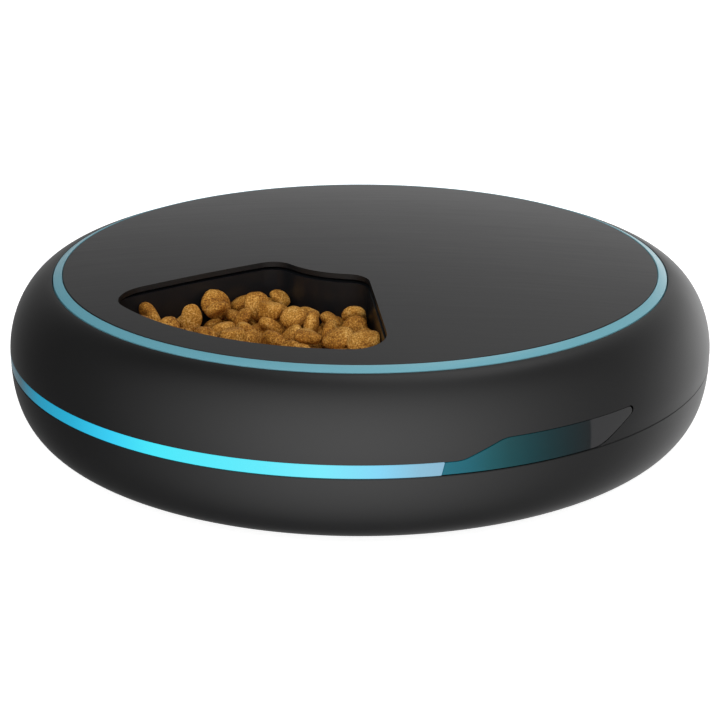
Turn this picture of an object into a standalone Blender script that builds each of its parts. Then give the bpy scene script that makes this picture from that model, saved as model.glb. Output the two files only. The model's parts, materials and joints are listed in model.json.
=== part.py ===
"""Automatic pet feeder: a round body with a five-compartment turning tray under a lift-off lid.

Units are metres and +Z is up. The origin is the centre of the footprint, on the floor. The display side
faces -Y. Angles called azimuth start at -Y and grow towards +X.
"""
import math

import bmesh
import bpy
from mathutils import Matrix, Vector

MM = 0.001

# ---------------------------------------------------------------- general
GAP = 0.3 * MM                    # between pieces that touch
WALL = 2.4 * MM                   # moulded walls
RING_STEPS = 54                   # facets round the large turned parts
CLOCKING = 2.0                    # degrees that keep a cutter's corners off the facet edges it meets
SMALL_STEPS = 14                  # facets round screws, posts and shafts
OVERRUN = 1.0 * MM                # how far a cutter passes a face, or a join sinks into it

# ---------------------------------------------------------------- body shell
BODY_RADIUS = 165.0 * MM          # widest radius
BELLY_HEIGHT = 42.3 * MM          # height of the widest radius
SHOULDER_REACH = 23.5 * MM        # how far the shoulder curve runs inwards
SHOULDER_RISE = 33.3 * MM         # how far it runs upwards
SHOULDER_POWER = 1.906            # 2 is an ellipse
SKIRT_REACH = 33.1 * MM           # the same values below the belly
SKIRT_POWER = 2.68
SHELL_POINTS = 7                  # profile points on each curve

# ---------------------------------------------------------------- lid
RIM_RADIUS = BODY_RADIUS - 21.5 * MM    # outside of the trim ring
RIM_HEIGHT = BELLY_HEIGHT + SHOULDER_RISE - 0.1 * MM  # top outer edge of the trim ring
LID_RADIUS = RIM_RADIUS - 4.35 * MM     # outside of the lid cover
LID_EDGE_HEIGHT = RIM_HEIGHT + 1.74 * MM  # top of the lid cover at its edge
LID_CROWN = 7.49 * MM             # rise of the dome from edge to centre
LID_THICKNESS = 2.4 * MM
LIP_CLEARANCE = 0.4 * MM          # trim ring to housing lip
LEDGE_DEPTH = 3.0 * MM            # the lid's seat below the rim
FLANGE_WIDTH = 4.5 * MM           # trim ring under the lid cover
KEY_COUNT = 3                     # locating keys under the trim ring
KEY_SIZE = (2.4 * MM, 8.0 * MM, 2.8 * MM)

# ---------------------------------------------------------------- tray
COMPARTMENTS = 5
SERVING_AZIMUTH = -29.3           # middle of the feeding opening, degrees
OPENING_INSET = 1.5 * MM          # opening side edge to the compartment's dividing line
OPENING_OUTER = LID_RADIUS - 14.05 * MM
OPENING_INNER = 41.0 * MM
OPENING_OUTER_CORNER = 15.0 * MM
OPENING_INNER_CORNER = 11.0 * MM
TRAY_RADIUS = LID_RADIUS - 5.35 * MM
TRAY_WALL = 2.4 * MM
TRAY_FLOOR = 2.2 * MM
TRAY_LID_GAP = 1.2 * MM           # divider tops to the lid's underside
DIVIDER_HALF = 2.2 * MM
HUB_WALL_RADIUS = 42.5 * MM       # inner wall of each compartment
POCKET_CORNER = 10.0 * MM
POCKET_FLOOR_ROUND = 5.0 * MM
KIBBLE_DEPTH = 19.5 * MM
KIBBLE_INSET = 0.8 * MM

# ---------------------------------------------------------------- well and turntable
WELL_RADIUS = LID_RADIUS - 1.15 * MM    # inside of the tray well
COLLAR_HEIGHT = 1.4 * MM          # splash collar round the deck hole
GLIDE_INNER = 40.0 * MM
GLIDE_OUTER = 52.0 * MM
GLIDE_THICKNESS = 2.0 * MM
TABLE_RADIUS = 62.0 * MM
TABLE_THICKNESS = 3.0 * MM
SPINDLE_RADIUS = 4.0 * MM
DOG_RADIUS = SPINDLE_RADIUS + 9.0 * MM    # hexagonal drive dog, across corners, halved
DOG_HEIGHT = 8.0 * MM
DOG_CLEARANCE = 0.5 * MM
DOG_BORE = SPINDLE_RADIUS + 3.2 * MM
HUB_RADIUS = SPINDLE_RADIUS + 8.0 * MM
HUB_KEY_RADIUS = SPINDLE_RADIUS + 5.5 * MM  # hexagonal seat of the drive gear
MAGNET_RADIUS = 3.0 * MM
MAGNET_HEIGHT = 2.0 * MM
MAGNET_CIRCLE = 57.0 * MM
DECK_HOLE_RADIUS = HUB_RADIUS + 2.0 * MM

# ---------------------------------------------------------------- drive
GEAR_MODULE = 1.25 * MM
GEAR_TEETH = 48
PINION_TEETH = 12
PRESSURE_ANGLE = 25.0
ADDENDUM = 0.8                    # stub teeth, in modules
DEDENDUM = 1.05
BACKLASH = 0.25 * MM
GEAR_THICKNESS = 6.0 * MM
GEAR_DROP = 3.0 * MM              # deck underside to the top of the gear
RUNNING_CLEARANCE = 0.15 * MM
BUSH_WALL = 1.55 * MM
CLIP_THICKNESS = 0.8 * MM
SHAFT_RADIUS = 2.5 * MM
GEARBOX_SIZE = (36.0 * MM, 30.0 * MM, 17.0 * MM)
GEARBOX_RAISE = 1.0 * MM          # gearbox above the base floor
EAR_RAISE = 3.0 * MM              # mounting ears above the gearbox's underside
EAR_HALF_WIDTH = 4.0 * MM
GEARBOX_SCREW_LENGTH = 5.5 * MM
MOTOR_RADIUS = 7.8 * MM
MOTOR_LENGTH = 26.0 * MM

# ---------------------------------------------------------------- light strip and display
SEAM_HEIGHT = BELLY_HEIGHT - 4.5 * MM  # top edge of the lower base
STRIP_HEIGHT = 5.5 * MM
STRIP_THICKNESS = 3.2 * MM
STRIP_START = 12.6                # azimuth where the strip meets the display
STRIP_END = -168.0                # azimuth where it stops at the back
LED_STRIP_THICKNESS = 1.2 * MM
LED_STRIP_MARGIN = 0.8 * MM
WINDOW_THICKNESS = 2.2 * MM
WINDOW_AZIMUTH = 28.0             # direction that the display faces
WINDOW_BOTTOM = SEAM_HEIGHT + 0.5 * MM
WINDOW_STEP = SEAM_HEIGHT + GAP + STRIP_HEIGHT  # top of its narrow left end
WINDOW_TOP = WINDOW_STEP + 7.3 * MM
WINDOW_LEFT = (11.5, 12.0)        # azimuths of its left end, bottom and step
WINDOW_RISE = (14.5, 21.0)        # azimuths where its top edge starts and stops rising
WINDOW_RIGHT = (37.3, 45.8)       # azimuths of its right end, bottom and tip
WINDOW_ROUNDS = (15.0 * MM, 20.0 * MM, 1.7 * MM)  # its rise, its lower right corner and its tip
BOARD_THICKNESS = 1.6 * MM
DISPLAY_BOARD_SIZE = (52.0 * MM, 18.0 * MM)
DISPLAY_BOARD_FACE = BODY_RADIUS - 10.4 * MM  # front of the board, from the feeder's axis
DIGIT_SIZE = (30.0 * MM, 10.0 * MM, 5.0 * MM)
DISPLAY_SCREW_SPREAD = 22.0 * MM
DISPLAY_SCREW_HEIGHT = WINDOW_TOP + 4.6 * MM
DISPLAY_POST_WALL = 1.3 * MM
DISPLAY_SCREW_LENGTH = 4.2 * MM

# ---------------------------------------------------------------- power and control
CELL_RADIUS = 13.1 * MM
CELL_LENGTH = 49.0 * MM
CELL_GAP = 1.0 * MM
CONTACT_THICKNESS = 0.6 * MM
BATTERY_X = 84.0 * MM             # middle of the battery box
BOX_WALL = 1.6 * MM
BOX_CLEARANCE = 1.2 * MM          # battery box to the deck above it
DOOR_THICKNESS = 2.0 * MM
DOOR_MARGIN = 3.0 * MM            # ledge of the base round the door opening
CONTROL_BOARD_SIZE = (56.0 * MM, 76.0 * MM)
CONTROL_BOARD_X = -78.0 * MM
CONTROL_BOARD_RAISE = 7.0 * MM
BOARD_SCREW_INSET = 4.0 * MM
BOARD_SCREW_LENGTH = 6.0 * MM
CONTACT_HALF_SIZE = (9.0 * MM, 8.0 * MM)
CELL_NUB_RADIUS = 3.4 * MM
CELL_NUB_HEIGHT = 1.5 * MM
CELL_EDGE = 0.6 * MM
DOOR_GRIP_RADIUS = 9.0 * MM       # thumb recess in the door
DOOR_GRIP_DEPTH = 0.8 * MM
DOOR_GRIP_INSET = 14.0 * MM
SOCKET_HEIGHT = 23.5 * MM
SOCKET_SIZE = (14.0 * MM, 12.0 * MM, 11.0 * MM)
SOCKET_NOZZLE = 4.8 * MM
SOCKET_BORE = 2.9 * MM
SOCKET_PIN = 0.9 * MM
SOCKET_SETBACK = 5.0 * MM         # socket body behind the base's wall
SOCKET_DEPTH = 8.0 * MM
LEAD_RADIUS = 1.0 * MM

# ---------------------------------------------------------------- feet and screws
FOOT_RADIUS = 8.0 * MM
FOOT_CIRCLE = BODY_RADIUS - 35.0 * MM
FOOT_CLOCKING = 1.8               # azimuth of the front foot
FOOT_COUNT = 4
FOOT_STANDOFF = 2.6 * MM          # floor to the base's underside
FOOT_RECESS = 1.2 * MM
FOOT_ROUND = 0.8 * MM
CASE_SCREW_CIRCLE = BODY_RADIUS - 43.0 * MM
CASE_SCREW_COUNT = 4
CASE_HEAD_RADIUS = 3.6 * MM
CASE_SHANK_RADIUS = 1.5 * MM
CASE_SCREW_LENGTH = 16.0 * MM
SMALL_HEAD_RADIUS = 2.8 * MM
SMALL_SHANK_RADIUS = 1.2 * MM
HEAD_HEIGHT = 2.0 * MM
POST_WALL = 2.2 * MM

# ---------------------------------------------------------------- worked out from the sizes above
BASE_FLOOR = FOOT_STANDOFF + WALL
SKIRT_DROP = BELLY_HEIGHT - FOOT_STANDOFF
STRIP_BOTTOM = SEAM_HEIGHT + GAP
STRIP_TOP = STRIP_BOTTOM + STRIP_HEIGHT
LIP_RADIUS = RIM_RADIUS + LIP_CLEARANCE
LEDGE_HEIGHT = RIM_HEIGHT - LEDGE_DEPTH
BATTERY_HALF_X = 2 * CELL_RADIUS + 2 * CELL_GAP + BOX_WALL
BATTERY_HALF_Y = CELL_LENGTH + 3 * CELL_GAP + 2 * CONTACT_THICKNESS + BOX_WALL
CELL_CENTRE_HEIGHT = BASE_FLOOR + CELL_GAP + CELL_RADIUS
BOX_TOP = CELL_CENTRE_HEIGHT + CELL_RADIUS + CELL_GAP + BOX_WALL
DECK_BOTTOM = BOX_TOP + BOX_CLEARANCE
DECK_TOP = DECK_BOTTOM + WALL
GLIDE_BOTTOM = DECK_TOP + GAP
TABLE_BOTTOM = GLIDE_BOTTOM + GLIDE_THICKNESS + GAP
TABLE_TOP = TABLE_BOTTOM + TABLE_THICKNESS
TRAY_BOTTOM = TABLE_TOP + GAP
TRAY_FLOOR_TOP = TRAY_BOTTOM + TRAY_FLOOR
GEAR_TOP = DECK_BOTTOM - GEAR_DROP
GEAR_BOTTOM = GEAR_TOP - GEAR_THICKNESS
BUSH_INNER = SPINDLE_RADIUS + RUNNING_CLEARANCE
BUSH_OUTER = BUSH_INNER + BUSH_WALL
PINION_OFFSET = GEAR_MODULE * (GEAR_TEETH + PINION_TEETH) / 2
SECTOR_HALF = 180.0 / COMPARTMENTS
BOARD_HEIGHT = BASE_FLOOR + CONTROL_BOARD_RAISE
GEARBOX_BOTTOM = BASE_FLOOR + GEARBOX_RAISE
EAR_BOTTOM = GEARBOX_BOTTOM + EAR_RAISE
SOCKET_FACE = BODY_RADIUS - WALL - SOCKET_SETBACK


# ================================================================ scene and material helpers
def clear_scene():
    """Start from an empty scene."""
    for thing in list(bpy.data.objects):
        bpy.data.objects.remove(thing, do_unlink=True)


def collection(name):
    """Add a collection to the scene."""
    made = bpy.data.collections.new(name)
    bpy.context.scene.collection.children.link(made)
    return made


def material(name, color, roughness, metallic=0.0):
    """A plain Principled material."""
    made = bpy.data.materials.new(name)
    made.use_nodes = True
    surface = made.node_tree.nodes["Principled BSDF"]
    surface.inputs["Base Color"].default_value = (*color, 1.0)
    surface.inputs["Roughness"].default_value = roughness
    surface.inputs["Metallic"].default_value = metallic
    return made


def make_materials():
    """Every material of the feeder, by slot name."""
    return {
        "black_plastic": material("black_plastic", (0.02, 0.02, 0.022), 0.45),
        "lid_plastic": material("lid_plastic", (0.05, 0.05, 0.053), 0.4),
        "teal_trim": material("teal_trim", (0.1, 0.42, 0.5), 0.35, 0.6),
        "light_guide": material("light_guide", (0.05, 0.6, 0.85), 0.25),
        "smoked_window": material("smoked_window", (0.01, 0.06, 0.08), 0.12),
        "kibble": material("kibble", (0.45, 0.22, 0.05), 0.85),
        "white_plastic": material("white_plastic", (0.8, 0.8, 0.78), 0.4),
        "steel": material("steel", (0.6, 0.6, 0.6), 0.25, 1.0),
        "circuit_board": material("circuit_board", (0.02, 0.2, 0.08), 0.5),
        "rubber": material("rubber", (0.03, 0.03, 0.03), 0.85),
        "cell_jacket": material("cell_jacket", (0.55, 0.35, 0.08), 0.3, 0.4),
        "insulation": material("insulation", (0.5, 0.03, 0.03), 0.5),
    }


def add_object(name, mesh, surface, home):
    """Link a mesh object into a collection, with its material and smooth shading."""
    thing = bpy.data.objects.new(name, mesh)
    if surface is not None:
        mesh.materials.clear()
        mesh.materials.append(surface)
    mesh.shade_smooth()
    mesh.set_sharp_from_angle(angle=math.radians(35))
    home.objects.link(thing)
    return thing


# ================================================================ geometry helpers
def polar(radius, azimuth, z=0.0):
    """A point at a radius and an azimuth in degrees (0 is -Y, 90 is +X)."""
    turn = math.radians(azimuth)
    return Vector((radius * math.sin(turn), -radius * math.cos(turn), z))


def lathe(profile, steps=RING_STEPS):
    """Turn a closed profile of (radius, z) points, outer side first and downwards, about Z."""
    shape = bmesh.new()
    verts = [shape.verts.new((radius, 0.0, z)) for radius, z in profile]
    for first, second in zip(verts, verts[1:] + verts[:1]):
        on_axis = first.co.x < 1e-9 and second.co.x < 1e-9
        if not on_axis:
            shape.edges.new((first, second))
    mesh = bpy.data.meshes.new("turned")
    shape.to_mesh(mesh)
    shape.free()
    guide = bpy.data.objects.new("turned", mesh)
    bpy.context.scene.collection.objects.link(guide)
    screw = guide.modifiers.new("Screw", "SCREW")
    screw.steps = steps
    screw.render_steps = steps
    screw.use_merge_vertices = True
    screw.merge_threshold = 0.00001
    return applied_mesh(guide)


def applied_mesh(thing):
    """The mesh of an object as its modifiers leave it; the object itself is removed."""
    bpy.context.view_layer.update()
    graph = bpy.context.evaluated_depsgraph_get()
    mesh = bpy.data.meshes.new_from_object(thing.evaluated_get(graph))
    mesh.transform(thing.matrix_world)
    bpy.data.objects.remove(thing, do_unlink=True)
    shape = bmesh.new()
    shape.from_mesh(mesh)
    bmesh.ops.remove_doubles(shape, verts=shape.verts, dist=0.000005)
    shape.to_mesh(mesh)
    shape.free()
    return mesh


def disc(radius, bottom, top, steps=SMALL_STEPS):
    """A cylinder about Z."""
    shape = bmesh.new()
    place = Matrix.Translation((0.0, 0.0, (bottom + top) / 2))
    bmesh.ops.create_cone(shape, cap_ends=True, segments=steps, radius1=radius, radius2=radius,
                          depth=top - bottom, matrix=place)
    mesh = bpy.data.meshes.new("disc")
    shape.to_mesh(mesh)
    shape.free()
    return mesh


def tube(outer, inner, bottom, top, steps=RING_STEPS):
    """A plain ring about Z."""
    return lathe([(outer, top), (outer, bottom), (inner, bottom), (inner, top)], steps)


def hexagon(radius, bottom, top):
    """A six-sided key about Z, measured across its corners."""
    return placed(disc(radius, bottom, top, 6), Matrix.Rotation(math.radians(CLOCKING), 4, "Z"))


def block(low, high):
    """A box between two corners."""
    shape = bmesh.new()
    bmesh.ops.create_cube(shape, size=1.0)
    low = Vector(low)
    size = Vector(high) - low
    for vert in shape.verts:
        part = vert.co + Vector((0.5, 0.5, 0.5))
        vert.co = Vector((low.x + part.x * size.x, low.y + part.y * size.y, low.z + part.z * size.z))
    mesh = bpy.data.meshes.new("block")
    shape.to_mesh(mesh)
    shape.free()
    return mesh


def prism(outline, bottom, top):
    """A flat closed outline given a height, from a filled curve."""
    curve = bpy.data.curves.new("outline", "CURVE")
    curve.dimensions = "2D"
    curve.fill_mode = "BOTH"
    curve.extrude = (top - bottom) / 2
    line = curve.splines.new("POLY")
    line.points.add(len(outline) - 1)
    for point, (x, y) in zip(line.points, outline):
        point.co = (x, y, 0.0, 1.0)
    line.use_cyclic_u = True
    guide = bpy.data.objects.new("outline", curve)
    guide.location = (0.0, 0.0, (bottom + top) / 2)
    bpy.context.scene.collection.objects.link(guide)
    return applied_mesh(guide)


def wire_run(points, radius):
    """A round lead along a smooth curve through its route's points."""
    curve = bpy.data.curves.new("lead", "CURVE")
    curve.dimensions = "3D"
    curve.bevel_depth = radius
    curve.bevel_resolution = 0
    curve.use_fill_caps = True
    line = curve.splines.new("BEZIER")
    line.resolution_u = 4
    line.bezier_points.add(len(points) - 1)
    for knot, place in zip(line.bezier_points, points):
        knot.co = place
        knot.handle_left_type = "AUTO"
        knot.handle_right_type = "AUTO"
    guide = bpy.data.objects.new("lead", curve)
    bpy.context.scene.collection.objects.link(guide)
    return applied_mesh(guide)


def fillet(corners, arc_points=4):
    """Round a polygon's corners. Each corner is (x, y, radius)."""
    outline = []
    count = len(corners)
    for index, (x, y, radius) in enumerate(corners):
        here = Vector((x, y))
        if radius <= 0:
            outline.append(here)
            continue
        before = Vector(corners[index - 1][:2]) - here
        after = Vector(corners[(index + 1) % count][:2]) - here
        half = before.angle(after) / 2
        reach = radius / math.tan(half)
        middle = here + (before.normalized() + after.normalized()).normalized() * (radius / math.sin(half))
        start = here + before.normalized() * reach - middle
        turn = (here + after.normalized() * reach - middle).angle_signed(start)
        for step in range(arc_points + 1):
            angle = turn * step / arc_points
            cosine = math.cos(angle)
            sine = math.sin(angle)
            outline.append(middle + Vector((start.x * cosine - start.y * sine,
                                            start.x * sine + start.y * cosine)))
    return [(point.x, point.y) for point in outline]


def placed(mesh, matrix):
    """A mesh after a transform."""
    mesh.transform(matrix)
    return mesh


class Shape:
    """A solid that takes joins and cuts as Boolean modifiers."""

    def __init__(self, name, mesh, surface, home, cutters):
        self.thing = add_object(name, mesh, surface, home)
        self.cutters = cutters

    def boolean(self, mesh, operation):
        """Join or cut with another mesh, kept as a wire-drawn guide."""
        guide = add_object(f"{self.thing.name}_tool", mesh, None, self.cutters)
        guide.hide_render = True
        guide.display_type = "WIRE"
        modifier = self.thing.modifiers.new(operation.title(), "BOOLEAN")
        modifier.operation = operation
        modifier.object = guide

    def cut(self, mesh):
        """Take a mesh away."""
        self.boolean(mesh, "DIFFERENCE")

    def join(self, mesh):
        """Add a mesh."""
        self.boolean(mesh, "UNION")

    def keep(self, mesh):
        """Keep only what lies inside a mesh."""
        self.boolean(mesh, "INTERSECT")


# ================================================================ outlines and profiles
def curve_point(reach, rise, power, share):
    """A point of a superellipse quarter, from its widest place (share 0) to its end (share 1)."""
    turn = share * math.pi / 2
    across = BODY_RADIUS - reach + reach * max(math.cos(turn), 0.0) ** (2 / power)
    return across, rise * math.sin(turn) ** (2 / power)


def share_at(rise, power, height):
    """Where along the quarter its height reaches a value."""
    return math.asin((height / rise) ** (power / 2)) * 2 / math.pi


def shoulder(top, points=SHELL_POINTS):
    """Body outline above the belly, from a height down to the belly."""
    last = share_at(SHOULDER_RISE, SHOULDER_POWER, top - BELLY_HEIGHT)
    made = []
    for step in range(points, -1, -1):
        across, rise = curve_point(SHOULDER_REACH, SHOULDER_RISE, SHOULDER_POWER, last * step / points)
        made.append((across, BELLY_HEIGHT + rise))
    return made


def skirt(top, points=SHELL_POINTS):
    """Body outline below the belly, from a height down to the flat underside."""
    first = share_at(SKIRT_DROP, SKIRT_POWER, BELLY_HEIGHT - top)
    made = []
    for step in range(points + 1):
        share = first + (1 - first) * step / points
        across, drop = curve_point(SKIRT_REACH, SKIRT_DROP, SKIRT_POWER, share)
        made.append((across, BELLY_HEIGHT - drop))
    return made


def body_radius(height):
    """Outer radius of the body at a height near or below the belly."""
    share = share_at(SKIRT_DROP, SKIRT_POWER, BELLY_HEIGHT - height)
    return curve_point(SKIRT_REACH, SKIRT_DROP, SKIRT_POWER, share)[0]


def shoulder_radius(height):
    """Outer radius of the body at a height above the belly."""
    share = share_at(SHOULDER_RISE, SHOULDER_POWER, height - BELLY_HEIGHT)
    return curve_point(SHOULDER_REACH, SHOULDER_RISE, SHOULDER_POWER, share)[0]


def inward(points, distance):
    """An open outline, running downwards, moved towards the inside by a distance."""
    made = []
    for index, (x, z) in enumerate(points):
        x0, z0 = points[max(index - 1, 0)]
        x1, z1 = points[min(index + 1, len(points) - 1)]
        run = Vector((x1 - x0, z1 - z0)).normalized()
        made.append((x + run.y * distance, z - run.x * distance))
    return made


def lid_top(radius):
    """Height of the lid's domed top at a radius."""
    return LID_EDGE_HEIGHT + LID_CROWN * (1 - (radius / LID_RADIUS) ** 2)


def arc(centre, radius, start, end, steps):
    """Points along an arc, angles in radians from +X."""
    made = []
    for step in range(steps + 1):
        angle = start + (end - start) * step / steps
        made.append((centre[0] + radius * math.cos(angle), centre[1] + radius * math.sin(angle)))
    return made


def compartment_outline(inner, outer, inset, inner_corner, outer_corner, azimuth, steps=6):
    """One compartment's sector, its sides moved in from the dividing lines and its corners rounded."""
    half = math.radians(SECTOR_HALF)
    along = Vector((math.cos(half), math.sin(half)))
    across = Vector((math.sin(half), -math.cos(half)))

    def corner_centre(distance, corner):
        off = inset + corner
        return along * math.sqrt(distance ** 2 - off ** 2) + across * off

    outer_centre = corner_centre(outer - outer_corner, outer_corner)
    inner_centre = corner_centre(inner + inner_corner, inner_corner)
    outer_angle = math.atan2(outer_centre.y, outer_centre.x)
    inner_angle = math.atan2(inner_centre.y, inner_centre.x)
    side = half + math.pi / 2
    upper = arc((0, 0), outer, 0.0, outer_angle, steps)
    upper += arc(outer_centre, outer_corner, outer_angle, side, 4)[1:]
    upper += arc(inner_centre, inner_corner, side, inner_angle + math.pi, 4)
    upper += arc((0, 0), inner, inner_angle, 0.0, steps // 2)[1:]
    lower = [(x, -y) for x, y in reversed(upper[1:-1])]
    turn = Matrix.Rotation(math.radians(azimuth) - math.pi / 2, 2)
    return [tuple(turn @ Vector(point)) for point in upper + lower]


def seam_slice(azimuth_from, azimuth_to, bottom, top, steps=20):
    """A slice of the seam round the body's edge, between two azimuths."""
    start = math.radians(azimuth_from) - math.pi / 2
    end = math.radians(azimuth_to) - math.pi / 2
    outside = arc((0, 0), 1.1 * BODY_RADIUS, start, end, steps)
    inside = arc((0, 0), BODY_RADIUS - 10 * MM, end, start, steps)
    return prism(outside + inside, bottom, top)


def window_mesh(spare):
    """The display outline, grown by a clearance, as a block that runs straight out through the wall."""
    def across(azimuth):
        return BODY_RADIUS * math.sin(math.radians(azimuth - WINDOW_AZIMUTH))

    rise_round, heel_round, tip_round = WINDOW_ROUNDS
    corners = [
        (across(WINDOW_LEFT[0]) - spare, WINDOW_BOTTOM - spare, 0),
        (across(WINDOW_RIGHT[0]) + 2 * spare, WINDOW_BOTTOM - spare, heel_round),
        (across(WINDOW_RIGHT[1]) + 2.5 * spare, WINDOW_TOP + spare, tip_round),
        (across(WINDOW_RISE[1]) - spare, WINDOW_TOP + spare, rise_round),
        (across(WINDOW_RISE[0]) - spare, WINDOW_STEP + spare, rise_round),
        (across(WINDOW_LEFT[1]) - spare, WINDOW_STEP + spare, 0),
    ]
    return placed(prism(fillet(corners), DISPLAY_BOARD_FACE - 6 * MM, 1.1 * BODY_RADIUS), facing(WINDOW_AZIMUTH))


def facing(azimuth):
    """Turns local +Z to point out of the body at an azimuth, with local +Y up."""
    out = polar(1.0, azimuth)
    right = polar(1.0, azimuth + 90)
    return Matrix((
        (right.x, 0.0, out.x, 0.0),
        (right.y, 0.0, out.y, 0.0),
        (0.0, 1.0, 0.0, 0.0),
        (0.0, 0.0, 0.0, 1.0),
    ))


def at(x, y, z=0.0):
    """A move."""
    return Matrix.Translation((x, y, z))


def screw_mesh(head_radius, shank_radius, length):
    """A pan-head screw, its seat at the origin and its shank up +Z."""
    tip = shank_radius * 0.6
    return lathe([
        (0.0, length), (tip, length), (shank_radius, length - tip), (shank_radius, 0.0),
        (head_radius, 0.0), (head_radius, -HEAD_HEIGHT * 0.6), (head_radius * 0.7, -HEAD_HEIGHT),
        (0.0, -HEAD_HEIGHT),
    ], 10)


def compartment_azimuths():
    """Middle of each compartment, from the one under the feeding opening."""
    return [SERVING_AZIMUTH + index * 2 * SECTOR_HALF for index in range(COMPARTMENTS)]


# ================================================================ lid
def make_lid(surfaces, home, cutters):
    """The domed cover with its feeding opening, and the trim ring that carries it."""
    rings = 6
    top = [(LID_RADIUS * step / rings, lid_top(LID_RADIUS * step / rings)) for step in range(rings + 1)]
    under = [(radius, z - LID_THICKNESS) for radius, z in reversed(top)]
    cover = Shape("lid_cover", lathe(top + under), surfaces["lid_plastic"], home, cutters)
    opening = compartment_outline(OPENING_INNER, OPENING_OUTER, OPENING_INSET, OPENING_INNER_CORNER,
                                  OPENING_OUTER_CORNER, SERVING_AZIMUTH)
    cover.cut(prism(opening, LEDGE_HEIGHT, LID_EDGE_HEIGHT + 2 * LID_CROWN))

    inner = LID_RADIUS + GAP
    flange_top = LID_EDGE_HEIGHT - LID_THICKNESS - GAP
    seat = LEDGE_HEIGHT + GAP
    ring = Shape("lid_trim_ring", lathe([
        (inner, LID_EDGE_HEIGHT), (RIM_RADIUS, RIM_HEIGHT), (RIM_RADIUS, seat),
        (inner - FLANGE_WIDTH, seat), (inner - FLANGE_WIDTH, flange_top), (inner, flange_top),
    ]), surfaces["teal_trim"], home, cutters)
    for index in range(KEY_COUNT):
        ring.join(key_block(index, 0.0, seat + GAP))


def key_block(index, spare, top):
    """One of the keys under the trim ring, or its slot when a clearance is given."""
    depth, width, drop = KEY_SIZE
    middle = (WELL_RADIUS + WALL / 2 + LIP_RADIUS) / 2
    low = (middle - depth / 2 - spare, -width / 2 - spare, LEDGE_HEIGHT - drop + GAP - spare)
    high = (middle + depth / 2 + spare, width / 2 + spare, top)
    turn = Matrix.Rotation(math.radians(90 + 360 / KEY_COUNT * index), 4, "Z")
    return placed(block(low, high), turn)


# ================================================================ tray and turntable
def make_tray(surfaces, home, cutters):
    """The tray with its five compartments, hollow hub and drive socket, and the food in one of them."""
    under_lid = LID_THICKNESS + TRAY_LID_GAP
    rings = 5
    top = [(TRAY_RADIUS * step / rings, lid_top(TRAY_RADIUS * step / rings) - under_lid)
           for step in range(rings + 1)]
    tray = Shape("food_tray", lathe(top + [
        (TRAY_RADIUS, TRAY_BOTTOM + TRAY_WALL), (TRAY_RADIUS - TRAY_WALL, TRAY_BOTTOM), (0.0, TRAY_BOTTOM),
    ]), surfaces["black_plastic"], home, cutters)
    for azimuth in compartment_azimuths():
        tray.cut(pocket(0.0, TRAY_FLOOR_TOP, LID_EDGE_HEIGHT + 2 * LID_CROWN, azimuth))
    hub_top = lid_top(HUB_WALL_RADIUS) - under_lid - TRAY_WALL
    hollow = tube(HUB_WALL_RADIUS - TRAY_WALL, DOG_RADIUS + 3 * TRAY_WALL, TRAY_BOTTOM - 5 * MM, hub_top, 30)
    tray.cut(placed(hollow, Matrix.Rotation(math.radians(CLOCKING), 4, "Z")))
    tray.cut(hexagon(DOG_RADIUS + DOG_CLEARANCE, TRAY_BOTTOM - 5 * MM,
                     TABLE_TOP + DOG_HEIGHT + DOG_CLEARANCE * 2))
    add_object("kibble_portion", pocket(KIBBLE_INSET, TRAY_FLOOR_TOP + GAP, TRAY_FLOOR_TOP + KIBBLE_DEPTH,
                                        SERVING_AZIMUTH), surfaces["kibble"], home)


def pocket(inset, bottom, top, azimuth):
    """A compartment's inside, with a rounded floor edge, smaller all round by an inset."""
    outline = compartment_outline(HUB_WALL_RADIUS + inset, TRAY_RADIUS - TRAY_WALL - inset,
                                  DIVIDER_HALF + inset, POCKET_CORNER - inset, POCKET_CORNER - inset,
                                  azimuth, 5)
    mesh = prism(outline, bottom, top)
    shape = bmesh.new()
    shape.from_mesh(mesh)
    floor_edges = [edge for edge in shape.edges
                   if all(abs(vert.co.z - bottom) < 1e-6 for vert in edge.verts)
                   and any(abs(face.normal.z) < 0.5 for face in edge.link_faces)]
    bmesh.ops.bevel(shape, geom=floor_edges, offset=POCKET_FLOOR_ROUND, segments=2, affect="EDGES",
                    profile=0.5, clamp_overlap=True)
    shape.to_mesh(mesh)
    shape.free()
    return mesh


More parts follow.
